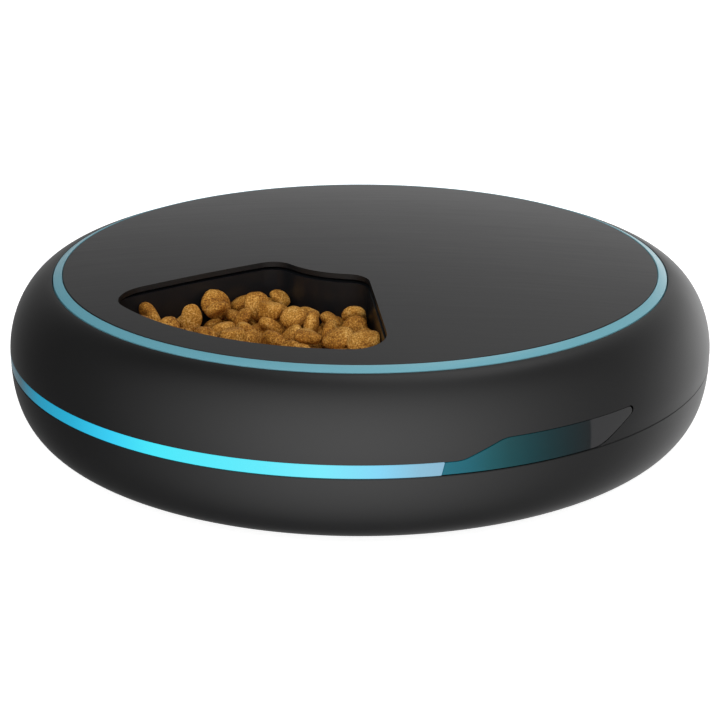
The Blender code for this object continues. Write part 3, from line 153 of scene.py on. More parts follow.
class Paint:
    """A material under construction, with a Principled surface."""

    def __init__(self, name: str) -> None:
        """Start a material.

        Args:
            name: the material's name.
        """
        self.material = bpy.data.materials.new(name)
        self.material.use_nodes = True
        self.tree = self.material.node_tree
        self.surface = self.tree.nodes["Principled BSDF"]
        self.place = self.node("ShaderNodeTexCoord", out="Object")

    def node(self, kind: str, settings: dict | None = None, inputs: dict | None = None,
             out: str | int = 0) -> Wire:
        """Add a node.

        Args:
            kind: the node's type.
            settings: properties set first; "stops" fills a colour ramp.
            inputs: values or wires by socket name or number.
            out: the output that is returned.

        Returns:
            The chosen output.
        """
        node = self.tree.nodes.new(kind)
        for key, value in (settings or {}).items():
            if key == "stops":
                self._fill_ramp(node, value)
            else:
                setattr(node, key, value)
        for key, value in (inputs or {}).items():
            if isinstance(value, Wire):
                self.tree.links.new(value.socket, node.inputs[key])
            else:
                node.inputs[key].default_value = value
        return Wire(self.tree, node.outputs[out])

    @staticmethod
    def _fill_ramp(node: bpy.types.Node, stops: list) -> None:
        """Give a colour ramp its stops, as (position, colour) pairs."""
        elements = node.color_ramp.elements
        while len(elements) < len(stops):
            elements.new(0.5)
        for element, (position, color) in zip(elements, stops):
            element.position = position
            element.color = (*color, 1.0)

    def set(self, **values: "float | tuple | Wire") -> None:
        """Set or link the surface's sockets; an underscore in a name stands for a space."""
        for key, value in values.items():
            socket = self.surface.inputs[key.replace("_", " ")]
            if isinstance(value, Wire):
                self.tree.links.new(value.socket, socket)
            elif isinstance(value, tuple):
                socket.default_value = (*value, 1.0)
            else:
                socket.default_value = value

    def noise(self, scale: float, detail: float = 3.0, stretch: tuple = (1.0, 1.0, 1.0),
              roughness: float = 0.5) -> Wire:
        """Noise on the object's own coordinates, stretched along its axes."""
        moved = self.node("ShaderNodeMapping", inputs={"Vector": self.place, "Scale": stretch})
        return self.node("ShaderNodeTexNoise", inputs={"Vector": moved, "Scale": scale, "Detail": detail,
                                                       "Roughness": roughness})

    def axes(self) -> tuple[Wire, Wire, Wire]:
        """The object's X, Y and Z as separate wires."""
        split = self.node("ShaderNodeSeparateXYZ", inputs={"Vector": self.place}).socket.node
        return tuple(Wire(self.tree, output) for output in split.outputs)

    def blend(self, factor: "Wire | float", first: "tuple | Wire", second: "tuple | Wire") -> Wire:
        """A colour between two by a factor."""
        pair = [color if isinstance(color, Wire) else (*color, 1.0) for color in (first, second)]
        return self.node("ShaderNodeMix", {"data_type": "RGBA"}, {0: factor, 6: pair[0], 7: pair[1]}, out=2)

    def ramp(self, factor: Wire, stops: list) -> Wire:
        """A colour ramp."""
        return self.node("ShaderNodeValToRGB", {"stops": stops}, {"Fac": factor})

    def sweep(self, first: float, last: float, stops: tuple) -> Wire:
        """A colour that changes with the azimuth.

        Args:
            first: azimuth where the ramp starts, in degrees.
            last: azimuth where it ends.
            stops: pairs of an azimuth and its screen colour.

        Returns:
            The colour.
        """
        x, y, _ = self.axes()
        azimuth = x.atan2(0.0 - y) * (180 / math.pi)
        share = 1 / (last - first)
        return self.ramp(((azimuth - first) * share).clamped(),
                         [((place - first) * share, tone(*shade)) for place, shade in stops])

    def bump(self, height: Wire, strength: float, distance: float) -> None:
        """Drive the surface's normal from a height."""
        self.set(Normal=self.node("ShaderNodeBump", inputs={"Height": height, "Strength": strength,
                                                            "Distance": distance}))


# ---------------------------------------------------------------- finishes
@dataclass(frozen=True)
class MouldedFinish:
    """Injection-moulded plastic with a fine spark texture."""

    name: str
    dark: tuple
    light: tuple
    roughness: float
    grain: float = 2600.0
    depth: float = 0.00003
    strength: float = 0.25
    coat: float = 0.0
    shine: float = 0.5

    def build(self) -> bpy.types.Material:
        """Returns: the material."""
        paint = Paint(self.name)
        cloud = paint.noise(22.0, 4.0)
        grain = paint.noise(self.grain, 2.0)
        paint.set(Base_Color=paint.blend(cloud, self.dark, self.light),
                  Roughness=(cloud * 0.08 + grain * 0.06 + (self.roughness - 0.07)).clamped(),
                  Specular_IOR_Level=self.shine, Coat_Weight=self.coat, Coat_Roughness=0.08)
        paint.bump(grain, self.strength, self.depth)
        return paint.material


@dataclass(frozen=True)
class BrushedFinish:
    """Satin lid with a straight brushed grain along X, and painted shade on its steep faces."""

    name: str = "brushed_lid"
    dark: tuple = (0.011, 0.011, 0.0115)
    light: tuple = (0.027, 0.027, 0.0275)
    # painted shade: the dark colour given to the lid's steep faces, such as the opening's walls
    edge: tuple = (0.003, 0.003, 0.0034)

    def build(self) -> bpy.types.Material:
        """Returns: the material."""
        paint = Paint(self.name)
        long_grain = paint.noise(55.0, 5.0, (0.35, 9.0, 1.0), 0.65)
        fine_grain = paint.noise(240.0, 3.0, (0.22, 7.0, 1.0), 0.6)
        grain = long_grain * 0.6 + fine_grain * 0.4
        normal = paint.node("ShaderNodeNewGeometry", out="Normal")
        upright = paint.node("ShaderNodeSeparateXYZ", inputs={"Vector": normal}, out="Z")
        # upright faces keep the brushed colour; steeper faces take the painted shade colour
        level = (upright * 4.0 - 2.5).clamped()
        brushed = paint.blend(grain, self.dark, self.light)
        paint.set(Base_Color=paint.blend(level, self.edge, brushed), Roughness=grain * 0.22 + 0.33)
        paint.bump(grain, 0.18, 0.00012)
        return paint.material


@dataclass(frozen=True)
class TrimFinish:
    """Satin teal paint with a faint pearl, a painted glow, and painted light that makes its +X side lighter."""

    name: str = "teal_trim"
    painted_glow: float = 0.15

    def build(self) -> bpy.types.Material:
        """Returns: the material."""
        paint = Paint(self.name)
        pearl = paint.noise(1800.0, 2.0)
        # painted light: the ring's colour runs from darker at -X to lighter at +X, as the light falls
        side = (paint.axes()[0] * 3.0 + 0.5).clamped()
        shade = paint.blend(side, tone(84, 142, 158), tone(112, 168, 180))
        glint = paint.blend(pearl, tone(84, 146, 162), tone(112, 172, 186))
        color = paint.blend(0.35, shade, glint)
        # painted glow: the ring's colour is also emitted, though the ring is no lamp
        paint.set(Base_Color=color, Roughness=pearl * 0.1 + 0.3, Emission_Color=color,
                  Emission_Strength=self.painted_glow, Coat_Weight=0.2, Coat_Roughness=0.15)
        paint.bump(pearl, 0.08, 0.00002)
        return paint.material


@dataclass(frozen=True)
class LampFinish:
    """Lit light guide whose colour changes round the body; the greyer stops at -76 and -67 degrees are painted
    reflection and dimming on its -X side.
    """

    name: str = "lit_guide"
    first: float = -170.0
    last: float = 12.0
    # the stops at -76 and -67 degrees are painted reflection and dimming near the guide's silhouette
    stops: tuple = (
        (-170.0, (24, 70, 92)), (-100.0, (30, 88, 112)), (-76.0, (62, 88, 98)), (-67.0, (58, 92, 104)),
        (-58.0, (32, 148, 182)), (-48.0, (34, 172, 210)), (-39.0, (52, 204, 242)), (-31.0, (68, 230, 248)),
        (-14.0, (92, 232, 249)), (-5.5, (116, 232, 249)), (2.8, (128, 210, 242)), (8.3, (134, 186, 212)),
        (11.5, (136, 180, 205)),
    )

    def build(self) -> bpy.types.Material:
        """Returns: the material."""
        paint = Paint(self.name)
        color = paint.sweep(self.first, self.last, self.stops)
        ripple = paint.noise(500.0, 2.0)
        paint.set(Base_Color=paint.blend(ripple, (0.004, 0.008, 0.01), (0.006, 0.012, 0.015)),
                  Roughness=ripple * 0.1 + 0.22, Specular_IOR_Level=0.2, Emission_Color=color,
                  Emission_Strength=1.0)
        return paint.material


@dataclass(frozen=True)
class SmokedFinish:
    """Polished smoked window: teal at its narrow end, dark grey at the other, with a painted glow."""

    name: str = "smoked_window"
    first: float = 10.0
    last: float = 47.0
    stops: tuple = (
        (11.0, (0, 84, 99)), (15.5, (0, 74, 86)), (18.5, (0, 64, 71)), (21.5, (0, 53, 58)),
        (24.7, (0, 44, 49)), (28.0, (6, 36, 40)), (31.5, (14, 30, 33)), (35.2, (22, 26, 28)),
        (35.5, (44, 44, 45)), (46.0, (48, 48, 48)),
    )

    def build(self) -> bpy.types.Material:
        """Returns: the material."""
        paint = Paint(self.name)
        tint = paint.sweep(self.first, self.last, self.stops)
        smudge = paint.noise(60.0, 4.0)
        # painted glow: the window's tint is emitted, though the window is no lamp
        paint.set(Base_Color=tint, Roughness=smudge * 0.06 + 0.12, Specular_IOR_Level=0.25,
                  Emission_Color=tint, Emission_Strength=0.3)
        return paint.material


@dataclass(frozen=True)
class KibbleFinish:
    """Baked dry food: golden brown, speckled and grainy."""

    name: str = "kibble"

    def build(self) -> bpy.types.Material:
        """Returns: the material."""
        paint = Paint(self.name)
        cloud = paint.noise(110.0, 3.0)
        grit = paint.noise(1250.0, 3.0, roughness=0.7)
        specks = paint.node("ShaderNodeTexVoronoi", inputs={"Vector": paint.place, "Scale": 900.0},
                            out="Distance")
        base = paint.ramp(cloud * 0.35 + grit * 0.65, [
            (0.3, tone(84, 44, 2)), (0.42, tone(138, 84, 18)), (0.51, tone(190, 130, 44)),
            (0.59, tone(222, 168, 84)), (0.68, tone(250, 208, 130)),
        ])
        fleck = ((0.27 - specks) * 6.0).clamped() * 0.8
        paint.set(Base_Color=paint.blend(fleck, base, tone(92, 50, 12)), Roughness=grit * 0.25 + 0.62,
                  Specular_IOR_Level=0.3)
        paint.bump(grit * 0.7 + cloud * 0.6, 0.7, 0.0007)
        return paint.material


@dataclass(frozen=True)
class MetalFinish:
    """Plated or turned metal with fine tool marks."""

    name: str
    color: tuple
    roughness: float

    def build(self) -> bpy.types.Material:
        """Returns: the material."""
        paint = Paint(self.name)
        marks = paint.noise(700.0, 3.0, (1.0, 1.0, 12.0))
        darker = tuple(channel * 0.8 for channel in self.color)
        paint.set(Base_Color=paint.blend(marks, darker, self.color), Metallic=1.0,
                  Roughness=marks * 0.15 + (self.roughness - 0.05))
        paint.bump(marks, 0.1, 0.00003)
        return paint.material


@dataclass(frozen=True)
class BoardFinish:
    """Circuit board mask with faint copper tracks."""

    name: str = "circuit_board"

    def build(self) -> bpy.types.Material:
        """Returns: the material."""
        paint = Paint(self.name)
        tracks = paint.node("ShaderNodeTexBrick", {"offset": 0.35}, {
            "Vector": paint.place, "Scale": 210.0, "Color1": (0.006, 0.11, 0.045, 1.0),
            "Color2": (0.01, 0.15, 0.06, 1.0), "Mortar": (0.05, 0.26, 0.09, 1.0), "Mortar Size": 0.03})
        paint.set(Base_Color=tracks, Roughness=paint.noise(300.0) * 0.2 + 0.25)
        return paint.material


def make_finishes() -> dict[str, bpy.types.Material]:
    """Build every finish once.

    Returns:
        The materials by the record's slot names.
    """
    made = {
        "body_plastic": MouldedFinish("body_plastic", (0.0035, 0.0035, 0.0037), (0.005, 0.005, 0.0052), 0.4),
        "tray_plastic": MouldedFinish("tray_plastic", (0.006, 0.0066, 0.0078), (0.009, 0.0099, 0.0118), 0.3,
                                      strength=0.08, shine=0.4),
        "white_plastic": MouldedFinish("white_plastic", (0.62, 0.62, 0.6), (0.72, 0.72, 0.7), 0.45),
        "gear_plastic": MouldedFinish("gear_plastic", (0.66, 0.62, 0.5), (0.75, 0.71, 0.6), 0.5),
        "digit_module": MouldedFinish("digit_module", (0.03, 0.03, 0.035), (0.05, 0.05, 0.055), 0.3),
        "socket_plastic": MouldedFinish("socket_plastic", (0.012, 0.012, 0.012), (0.02, 0.02, 0.02), 0.3),
        "rubber": MouldedFinish("rubber", (0.018, 0.018, 0.018), (0.03, 0.03, 0.03), 0.85,
                                grain=900.0, depth=0.0001, strength=0.5),
        "cell_jacket": MouldedFinish("cell_jacket", (0.42, 0.25, 0.05), (0.5, 0.31, 0.07), 0.3, coat=0.5),
        "lead_insulation": MouldedFinish("lead_insulation", (0.35, 0.02, 0.02), (0.45, 0.03, 0.03), 0.5),
        "lid_plastic": BrushedFinish(),
        "teal_trim": TrimFinish(),
        "light_guide": LampFinish(),
        "smoked_window": SmokedFinish(),
        "kibble": KibbleFinish(),
        "bearing_bronze": MetalFinish("bearing_bronze", (0.55, 0.36, 0.17), 0.4),
        "steel": MetalFinish("steel", (0.62, 0.62, 0.63), 0.3),
        "magnet": MetalFinish("magnet", (0.72, 0.71, 0.7), 0.18),
        "circuit_board": BoardFinish(),
    }
    return {slot: finish.build() for slot, finish in made.items()}


# ---------------------------------------------------------------- mesh building
def azimuth_point(radius: float, azimuth: float, height: float = 0.0) -> Vector:
    """A point at a radius, an azimuth in degrees and a height."""
    turn = math.radians(azimuth)
    return Vector((radius * math.sin(turn), -radius * math.cos(turn), height))


def arc(centre: Point, radius: float, start: float, end: float, steps: int) -> list[Point]:
    """Points along an arc.

    Args:
        centre: the arc's middle.
        radius: its radius.
        start: first angle, radians from +X.
        end: last angle.
        steps: how many pieces it is cut into.

    Returns:
        The points.
    """
    angles = [start + (end - start) * step / steps for step in range(steps + 1)]
    return [(centre[0] + radius * math.cos(turn), centre[1] + radius * math.sin(turn)) for turn in angles]


def rounded(corners: list[tuple[float, float, float]], steps: int = 5) -> list[Point]:
    """Round a polygon's corners.

    Args:
        corners: x, y and corner radius of each corner.
        steps: pieces in each corner.

    Returns:
        The rounded outline.
    """
    outline = []
    count = len(corners)
    for index, (x, y, radius) in enumerate(corners):
        here = Vector((x, y))
        if radius <= 0:
            outline.append((x, y))
            continue
        before = (Vector(corners[index - 1][:2]) - here).normalized()
        after = (Vector(corners[(index + 1) % count][:2]) - here).normalized()
        half = before.angle(after) / 2
        middle = here + (before + after).normalized() * (radius / math.sin(half))
        first = here + before * (radius / math.tan(half)) - middle
        last = here + after * (radius / math.tan(half)) - middle
        turn = last.angle_signed(first)
        start = math.atan2(first.y, first.x)
        outline += arc((middle.x, middle.y), radius, start, start + turn, steps)
    return outline


def turned(profile: list[Point], steps: int = 240) -> bmesh.types.BMesh:
    """Turn a closed outline of (radius, height) points, outer side first and downwards, about Z.

    Args:
        profile: the outline.
        steps: facets round the axis.

    Returns:
        The closed mesh.
    """
    shape = bmesh.new()
    rings = []
    for radius, height in profile:
        if radius < 1e-7:
            rings.append([shape.verts.new((0.0, 0.0, height))])
        else:
            rings.append([shape.verts.new((radius * math.cos(2 * math.pi * step / steps),
                                           radius * math.sin(2 * math.pi * step / steps), height))
                          for step in range(steps)])
    for upper, lower in zip(rings, rings[1:] + rings[:1]):
        for step in range(steps):
            following = (step + 1) % steps
            if len(upper) == 1 and len(lower) == 1:
                break
            if len(upper) == 1:
                shape.faces.new((upper[0], lower[step], lower[following]))
            elif len(lower) == 1:
                shape.faces.new((upper[step], lower[0], upper[following]))
            else:
                shape.faces.new((upper[step], lower[step], lower[following], upper[following]))
    bmesh.ops.recalc_face_normals(shape, faces=shape.faces)
    return shape


def prism(outline: list[Point], bottom: float, top: float) -> bmesh.types.BMesh:
    """Give a flat outline a height."""
    shape = bmesh.new()
    face = shape.faces.new([shape.verts.new((x, y, bottom)) for x, y in outline])
    raised = bmesh.ops.extrude_face_region(shape, geom=[face])
    verts = [item for item in raised["geom"] if isinstance(item, bmesh.types.BMVert)]
    bmesh.ops.translate(shape, verts=verts, vec=(0.0, 0.0, top - bottom))
    bmesh.ops.recalc_face_normals(shape, faces=shape.faces)
    return shape


def post(radius: float, bottom: float, top: float, steps: int = 40,
         place: Matrix | None = None) -> bmesh.types.BMesh:
    """A cylinder about Z, then moved."""
    shape = prism(arc((0.0, 0.0), radius, 0.0, 2 * math.pi * (1 - 1 / steps), steps - 1), bottom, top)
    if place is not None:
        shape.transform(place)
    return shape


def as_object(name: str, shape: bmesh.types.BMesh) -> bpy.types.Object:
    """Turn a mesh under construction into an object at the origin."""
    mesh = bpy.data.meshes.new(name)
    shape.to_mesh(mesh)
    shape.free()
    made = bpy.data.objects.new(name, mesh)
    bpy.context.scene.collection.objects.link(made)
    return made


def settled(thing: bpy.types.Object) -> bpy.types.Object:
    """Replace an object's mesh by what its modifiers make of it, and drop the modifiers."""
    bpy.context.view_layer.update()
    mesh = bpy.data.meshes.new_from_object(thing.evaluated_get(bpy.context.evaluated_depsgraph_get()))
    thing.modifiers.clear()
    thing.data = mesh
    return thing


def carve(thing: bpy.types.Object, *shapes: bmesh.types.BMesh, operation: str = "DIFFERENCE") -> None:
    """Cut, join or intersect an object with meshes that stand apart, at once."""
    whole = bmesh.new()
    for shape in shapes:
        part = bpy.data.meshes.new("part")
        shape.to_mesh(part)
        shape.free()
        whole.from_mesh(part)
        bpy.data.meshes.remove(part)
    tool = as_object("carving_tool", whole)
    modifier = thing.modifiers.new("Carve", "BOOLEAN")
    modifier.operation = operation
    modifier.object = tool
    settled(thing)
    bpy.data.objects.remove(tool, do_unlink=True)


def smooth(thing: bpy.types.Object, angle: float = 30.0) -> None:
    """Shade smooth, apart from edges sharper than an angle in degrees."""
    thing.data.shade_smooth()
    thing.data.set_sharp_from_angle(angle=math.radians(angle))


@dataclass
class Workshop:
    """Dresses finished pieces and hands them to the frame."""

    finishes: dict[str, bpy.types.Material] = field(default_factory=make_finishes)

    def deliver(self, thing: bpy.types.Object, slot: str, body: Body, replaces: tuple[str, ...] = (),
                angle: float = 30.0) -> bpy.types.Object:
        """Dress a piece, let it ride on its body and say which nodes it stands for.

        Args:
            thing: the finished piece.
            slot: the record's material slot.
            body: what it rides on.
            replaces: the nodes it stands for.
            angle: the sharpest angle that is still shaded smooth, in degrees.

        Returns:
            The same piece.
        """
        thing.data.materials.clear()
        thing.data.materials.append(self.finishes[slot])
        smooth(thing, angle)
        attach(thing, body.value)
        if replaces:
            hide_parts(*replaces)
        LOG.info("%s: %d faces, rides on %s", thing.name, len(thing.data.polygons), body.value)
        return thing

    def dress_frame(self) -> None:
        """Give every kept node its finish."""
        slots = {part["node"]: part["material_slot"] for part in frame["record"]["subparts"]}
        for name, node in frame["nodes"].items():
            node.data.materials.clear()
            node.data.materials.append(self.finishes[slots[name]])


# ---------------------------------------------------------------- the body's form
@dataclass(frozen=True)
class BodyForm:
    """Outlines that the shells share."""

    radius: float = 165.0 * MM
    belly: float = 42.3 * MM
    shoulder_reach: float = 23.5 * MM
    shoulder_rise: float = 33.3 * MM
    shoulder_power: float = 1.906
    skirt_reach: float = 33.1 * MM
    skirt_power: float = 2.68
    wall: float = 2.4 * MM
    gap: float = 0.3 * MM
    standoff: float = 2.6 * MM
    seam: float = 37.8 * MM
    strip_height: float = 5.5 * MM
    rim_radius: float = 143.5 * MM
    rim_height: float = 75.5 * MM
    well_radius: float = 138.0 * MM
    deck_top: float = 38.4 * MM
    curve_steps: int = 36

    @property
    def floor(self) -> float:
        """Inside of the base."""
        return self.standoff + self.wall

    @property
    def strip_bottom(self) -> float:
        """Lower edge of the light guide."""
        return self.seam + self.gap

    @property
    def strip_top(self) -> float:
        """Upper edge of the light guide."""
        return self.strip_bottom + self.strip_height

    def _quarter(self, reach: float, rise: float, power: float, first: float, last: float) -> list[Point]:
        """Points of a superellipse quarter between two shares of it, measured from the belly."""
        made = []
        for step in range(self.curve_steps + 1):
            turn = (first + (last - first) * step / self.curve_steps) * math.pi / 2
            made.append((self.radius - reach + reach * max(math.cos(turn), 0.0) ** (2 / power),
                         rise * math.sin(turn) ** (2 / power)))
        return made

    def shoulder(self, top: float, inset: float = 0.0) -> list[Point]:
        """Outline from a height down to the belly, moved inwards by an inset."""
        rise = (top - self.belly) / self.shoulder_rise
        share = math.asin(rise ** (self.shoulder_power / 2)) * 2 / math.pi
        points = self._quarter(self.shoulder_reach, self.shoulder_rise, self.shoulder_power, share, 0.0)
        return inward([(radius, self.belly + rise) for radius, rise in points], inset)

    def skirt(self, top: float, inset: float = 0.0) -> list[Point]:
        """Outline from a height down to the flat underside, moved inwards by an inset."""
        drop = self.belly - self.standoff
        share = math.asin(((self.belly - top) / drop) ** (self.skirt_power / 2)) * 2 / math.pi
        points = self._quarter(self.skirt_reach, drop, self.skirt_power, share, 1.0)
        return inward([(radius, self.belly - fall) for radius, fall in points], inset)

    def seam_slice(self, first: float, last: float, bottom: float, top: float) -> bmesh.types.BMesh:
        """A slice of the seam round the edge, between two azimuths."""
        start = math.radians(first) - math.pi / 2
        end = math.radians(last) - math.pi / 2
        outside = arc((0.0, 0.0), self.radius * 1.1, start, end, 90)
        inside = arc((0.0, 0.0), self.radius - 10 * MM, end, start, 90)
        return prism(outside + inside, bottom, top)


def inward(points: list[Point], inset: float) -> list[Point]:
    """Move an open outline, which runs downwards, towards the inside.

    Args:
        points: the outline.
        inset: how far it moves.

    Returns:
        The moved outline.
    """
    made = []
    for index, (x, z) in enumerate(points):
        first = Vector(points[max(index - 1, 0)])
        last = Vector(points[min(index + 1, len(points) - 1)])
        run = (last - first).normalized()
        made.append((x + run.y * inset, z - run.x * inset))
    return made


@dataclass(frozen=True)
class WindowForm:
    """The display window's outline."""

    body: BodyForm = BodyForm()
    azimuth: float = 28.0
    bottom: float = 38.3 * MM
    step: float = 43.6 * MM
    top: float = 50.9 * MM
    inner: float = 148.6 * MM

    def cutter(self, spare: float) -> bmesh.types.BMesh:
        """The outline, grown by a clearance, run straight out through the wall."""
        def across(azimuth: float) -> float:
            """How far along the window an azimuth lies."""
            return self.body.radius * math.sin(math.radians(azimuth - self.azimuth))

        corners = [
            (across(11.5) - spare, self.bottom - spare, 0.0),
            (across(37.3) + 2 * spare, self.bottom - spare, 20 * MM),
            (across(45.8) + 2.5 * spare, self.top + spare, 1.7 * MM),
            (across(21.0) - spare, self.top + spare, 15 * MM),
            (across(14.5) - spare, self.step + spare, 15 * MM),
            (across(12.0) - spare, self.step + spare, 0.0),
        ]
        shape = prism(rounded(corners, 8), self.inner, self.body.radius * 1.1)
        shape.transform(facing(self.azimuth))
        return shape


def facing(azimuth: float) -> Matrix:
    """Turns local +Z to point out of the body at an azimuth, with local +Y up."""
    out = azimuth_point(1.0, azimuth)
    right = azimuth_point(1.0, azimuth + 90)
    return Matrix(((right.x, 0, out.x, 0), (right.y, 0, out.y, 0), (0, 1, 0, 0), (0, 0, 0, 1)))


def sector(inner: float, outer: float, inset: float, inner_corner: float, outer_corner: float,
           azimuth: float, steps: int = 24) -> list[Point]:
    """One compartment's rounded sector.

    Args:
        inner: radius of its inner arc.
        outer: radius of its outer arc.
        inset: how far its sides stand off the dividing lines.
        inner_corner: radius of its inner corners.
        outer_corner: radius of its outer corners.
        azimuth: where its middle points.
        steps: pieces along half of the outer arc.

    Returns:
        The outline.
    """
    half = math.radians(36.0)
    along = Vector((math.cos(half), math.sin(half)))
    across = Vector((math.sin(half), -math.cos(half)))

    def corner(distance: float, radius: float) -> Vector:
        """Middle of a corner's arc."""
        off = inset + radius
        return along * math.sqrt(distance ** 2 - off ** 2) + across * off

    far = corner(outer - outer_corner, outer_corner)
    near = corner(inner + inner_corner, inner_corner)
    far_turn = math.atan2(far.y, far.x)
    near_turn = math.atan2(near.y, near.x)
    side = half + math.pi / 2
    upper = arc((0.0, 0.0), outer, 0.0, far_turn, steps)
    upper += arc(tuple(far), outer_corner, far_turn, side, 12)[1:]
    upper += arc(tuple(near), inner_corner, side, near_turn + math.pi, 12)
    upper += arc((0.0, 0.0), inner, near_turn, 0.0, steps // 2)[1:]
    lower = [(x, -y) for x, y in reversed(upper[1:-1])]
    turn = Matrix.Rotation(math.radians(azimuth) - math.pi / 2, 2)
    return [tuple(turn @ Vector(point)) for point in upper + lower]


# ---------------------------------------------------------------- sub-assemblies
@dataclass
class Housing:
    """The two shells, the feet and the battery door."""

    form: BodyForm
    window: WindowForm
    ledge_depth: float = 3.0 * MM
    lip_gap: float = 0.4 * MM
    lip_round: float = 0.35 * MM
    deck_hole: float = 14.0 * MM
    collar: float = 1.4 * MM
    strip_from: float = -168.2
    strip_to: float = 12.6
    foot_circle: float = 130.0 * MM
    foot_clocking: float = 1.8
    foot_radius: float = 8.0 * MM
    screw_circle: float = 122.0 * MM
    screw_head: float = 3.9 * MM
    screw_shank: float = 1.8 * MM
    post_wall: float = 2.2 * MM
    post_top: float = 14.0 * MM
    socket_height: float = 23.5 * MM
    socket_hole: float = 5.1 * MM

    def build(self, shop: Workshop) -> None:
        """Make and deliver every piece."""
        self.upper(shop)
        self.lower(shop)
        self.feet(shop)

    def screw_spots(self) -> list[Vector]:
        """Where the case screws stand."""
        return [azimuth_point(self.screw_circle, 45.0 + 90.0 * index) for index in range(4)]

    def upper(self, shop: Workshop) -> None:
        """The shoulder shell with the lid's seat, the well and the deck."""
        form = self.form
        lip = form.rim_height - form.gap
        lip_radius = form.rim_radius + self.lip_gap
        ledge = form.rim_height - self.ledge_depth
        under = ledge - form.wall
        well = form.well_radius
        deck = form.deck_top
        outer = form.shoulder(lip - self.lip_round * 0.5)
        below = form.skirt(form.belly - 0.2 * MM)
        outer += [point for point in below if point[1] > form.strip_bottom + 0.3 * MM]
        bottom_radius = outer[-1][0]
        inside = [point for point in form.shoulder(lip, form.wall) if point[1] < under][::-1]
        profile = outer + [(bottom_radius, form.strip_bottom), (bottom_radius - form.wall, form.strip_bottom)]
        profile += inside + [
            (inside[-1][0], under), (well + form.wall, under), (well + form.wall, deck - form.wall),
            (self.deck_hole, deck - form.wall), (self.deck_hole, deck + self.collar),
            (self.deck_hole + form.wall, deck + self.collar), (self.deck_hole + form.wall, deck),
            (well - 3 * MM, deck), (well - 0.9 * MM, deck + 0.9 * MM), (well, deck + 3 * MM),
            (well, ledge - 0.5 * MM), (well + 0.5 * MM, ledge), (lip_radius, ledge),
            (lip_radius, lip - self.lip_round), (lip_radius + self.lip_round, lip),
        ]
        shell = as_object("upper_housing_shell", turned(profile))
        places = [Matrix.Translation(spot) for spot in self.screw_spots()]
        carve(shell, form.seam_slice(self.strip_from, self.strip_to, form.strip_bottom - form.wall,
                                     form.strip_top + form.gap),
              *[self.key_slot(90.0 + 120.0 * index, ledge) for index in range(3)])
        carve(shell, *[post(4.0 * MM, self.post_top + form.gap, deck - form.wall / 2, place=place)
                       for place in places], operation="UNION")
        carve(shell, self.window.cutter(form.gap),
              *[post(self.screw_shank, form.floor, deck - 2 * form.wall, place=place) for place in places])
        shop.deliver(shell, "body_plastic", Body.HOUSING, ("upper_housing",))

    @staticmethod
    def key_slot(turn: float, ledge: float) -> bmesh.types.BMesh:
        """A slot in the lid's seat for one of the trim ring's keys."""
        width = 4.3 * MM
        shape = prism([(140.65 * MM, -width), (143.6 * MM, -width), (143.6 * MM, width), (140.65 * MM, width)],
                      ledge - 2.8 * MM, ledge + 0.3 * MM)
        shape.transform(Matrix.Rotation(math.radians(turn), 4, "Z"))
        return shape

    def lower(self, shop: Workshop) -> None:
        """The bowl with its screw posts, foot recesses and openings."""
        form = self.form
        outer = form.skirt(form.seam)
        outer[0] = (outer[0][0] - 0.35 * MM, form.seam)
        outer.insert(1, (form.skirt(form.seam)[0][0], form.seam - 0.35 * MM))
        flat = form.radius - form.skirt_reach
        inside = [point for point in form.skirt(form.seam, form.wall) if point[1] > form.floor + 0.3 * MM]
        inside[0] = (inside[0][0], form.seam)
        profile = outer + [(0.0, form.standoff), (0.0, form.floor), (flat, form.floor)] + inside[::-1]
        bowl = as_object("lower_base_bowl", turned(profile))
        sink = form.standoff + form.wall / 2
        places = [Matrix.Translation(spot) for spot in self.screw_spots()]
        carve(bowl, *[post(self.screw_head + self.post_wall, sink, self.post_top, place=place)
                      for place in places], operation="UNION")
        low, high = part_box("battery_door")
        margin = form.gap
        doorway = prism([(low[0] - margin, low[1] - margin), (high[0] + margin, low[1] - margin),
                         (high[0] + margin, high[1] + margin), (low[0] - margin, high[1] + margin)],
                        0.0, form.floor + 1 * MM)
        inlet = post(self.socket_hole, form.radius - 15 * MM, form.radius + 5 * MM,
                     place=facing(180.0) @ Matrix.Translation((0.0, self.socket_height, 0.0)))
        heads = [post(self.screw_head, 0.0, self.post_top - form.wall, place=place) for place in places]
        foot_places = [Matrix.Translation(azimuth_point(self.foot_circle, self.foot_clocking + 90.0 * index))
                       for index in range(4)]
        recesses = [post(self.foot_radius + form.gap, 0.0, form.standoff + 1.2 * MM, place=place)
                    for place in foot_places]
        carve(bowl, doorway, inlet, *heads, *recesses)
        carve(bowl, *[post(self.screw_shank, 0.0, self.post_top + 1 * MM, place=place) for place in places])
        shop.deliver(bowl, "body_plastic", Body.HOUSING, ("lower_base",))

    def feet(self, shop: Workshop) -> None:
        """Rubber feet with a domed edge and a moulded ring."""
        top = self.form.standoff + 1.2 * MM - self.form.gap
        radius = self.foot_radius
        for index in range(4):
            spot = azimuth_point(self.foot_circle, self.foot_clocking + 90.0 * index)
            corner = arc((radius - 0.8 * MM, 0.8 * MM), 0.8 * MM, 0.0, -math.pi / 2, 6)
            shape = turned([(0.0, top), (radius - 0.2 * MM, top), (radius, top - 0.2 * MM)] + corner
                           + [(5.4 * MM, 0.0), (5.1 * MM, 0.4 * MM), (4.3 * MM, 0.4 * MM), (4.0 * MM, 0.0),
                              (0.0, 0.0)], 64)
            shape.transform(Matrix.Translation(spot))
            shop.deliver(as_object(f"rubber_foot_{index + 1}", shape), "rubber", Body.HOUSING,
                         (f"foot_{index + 1}",))


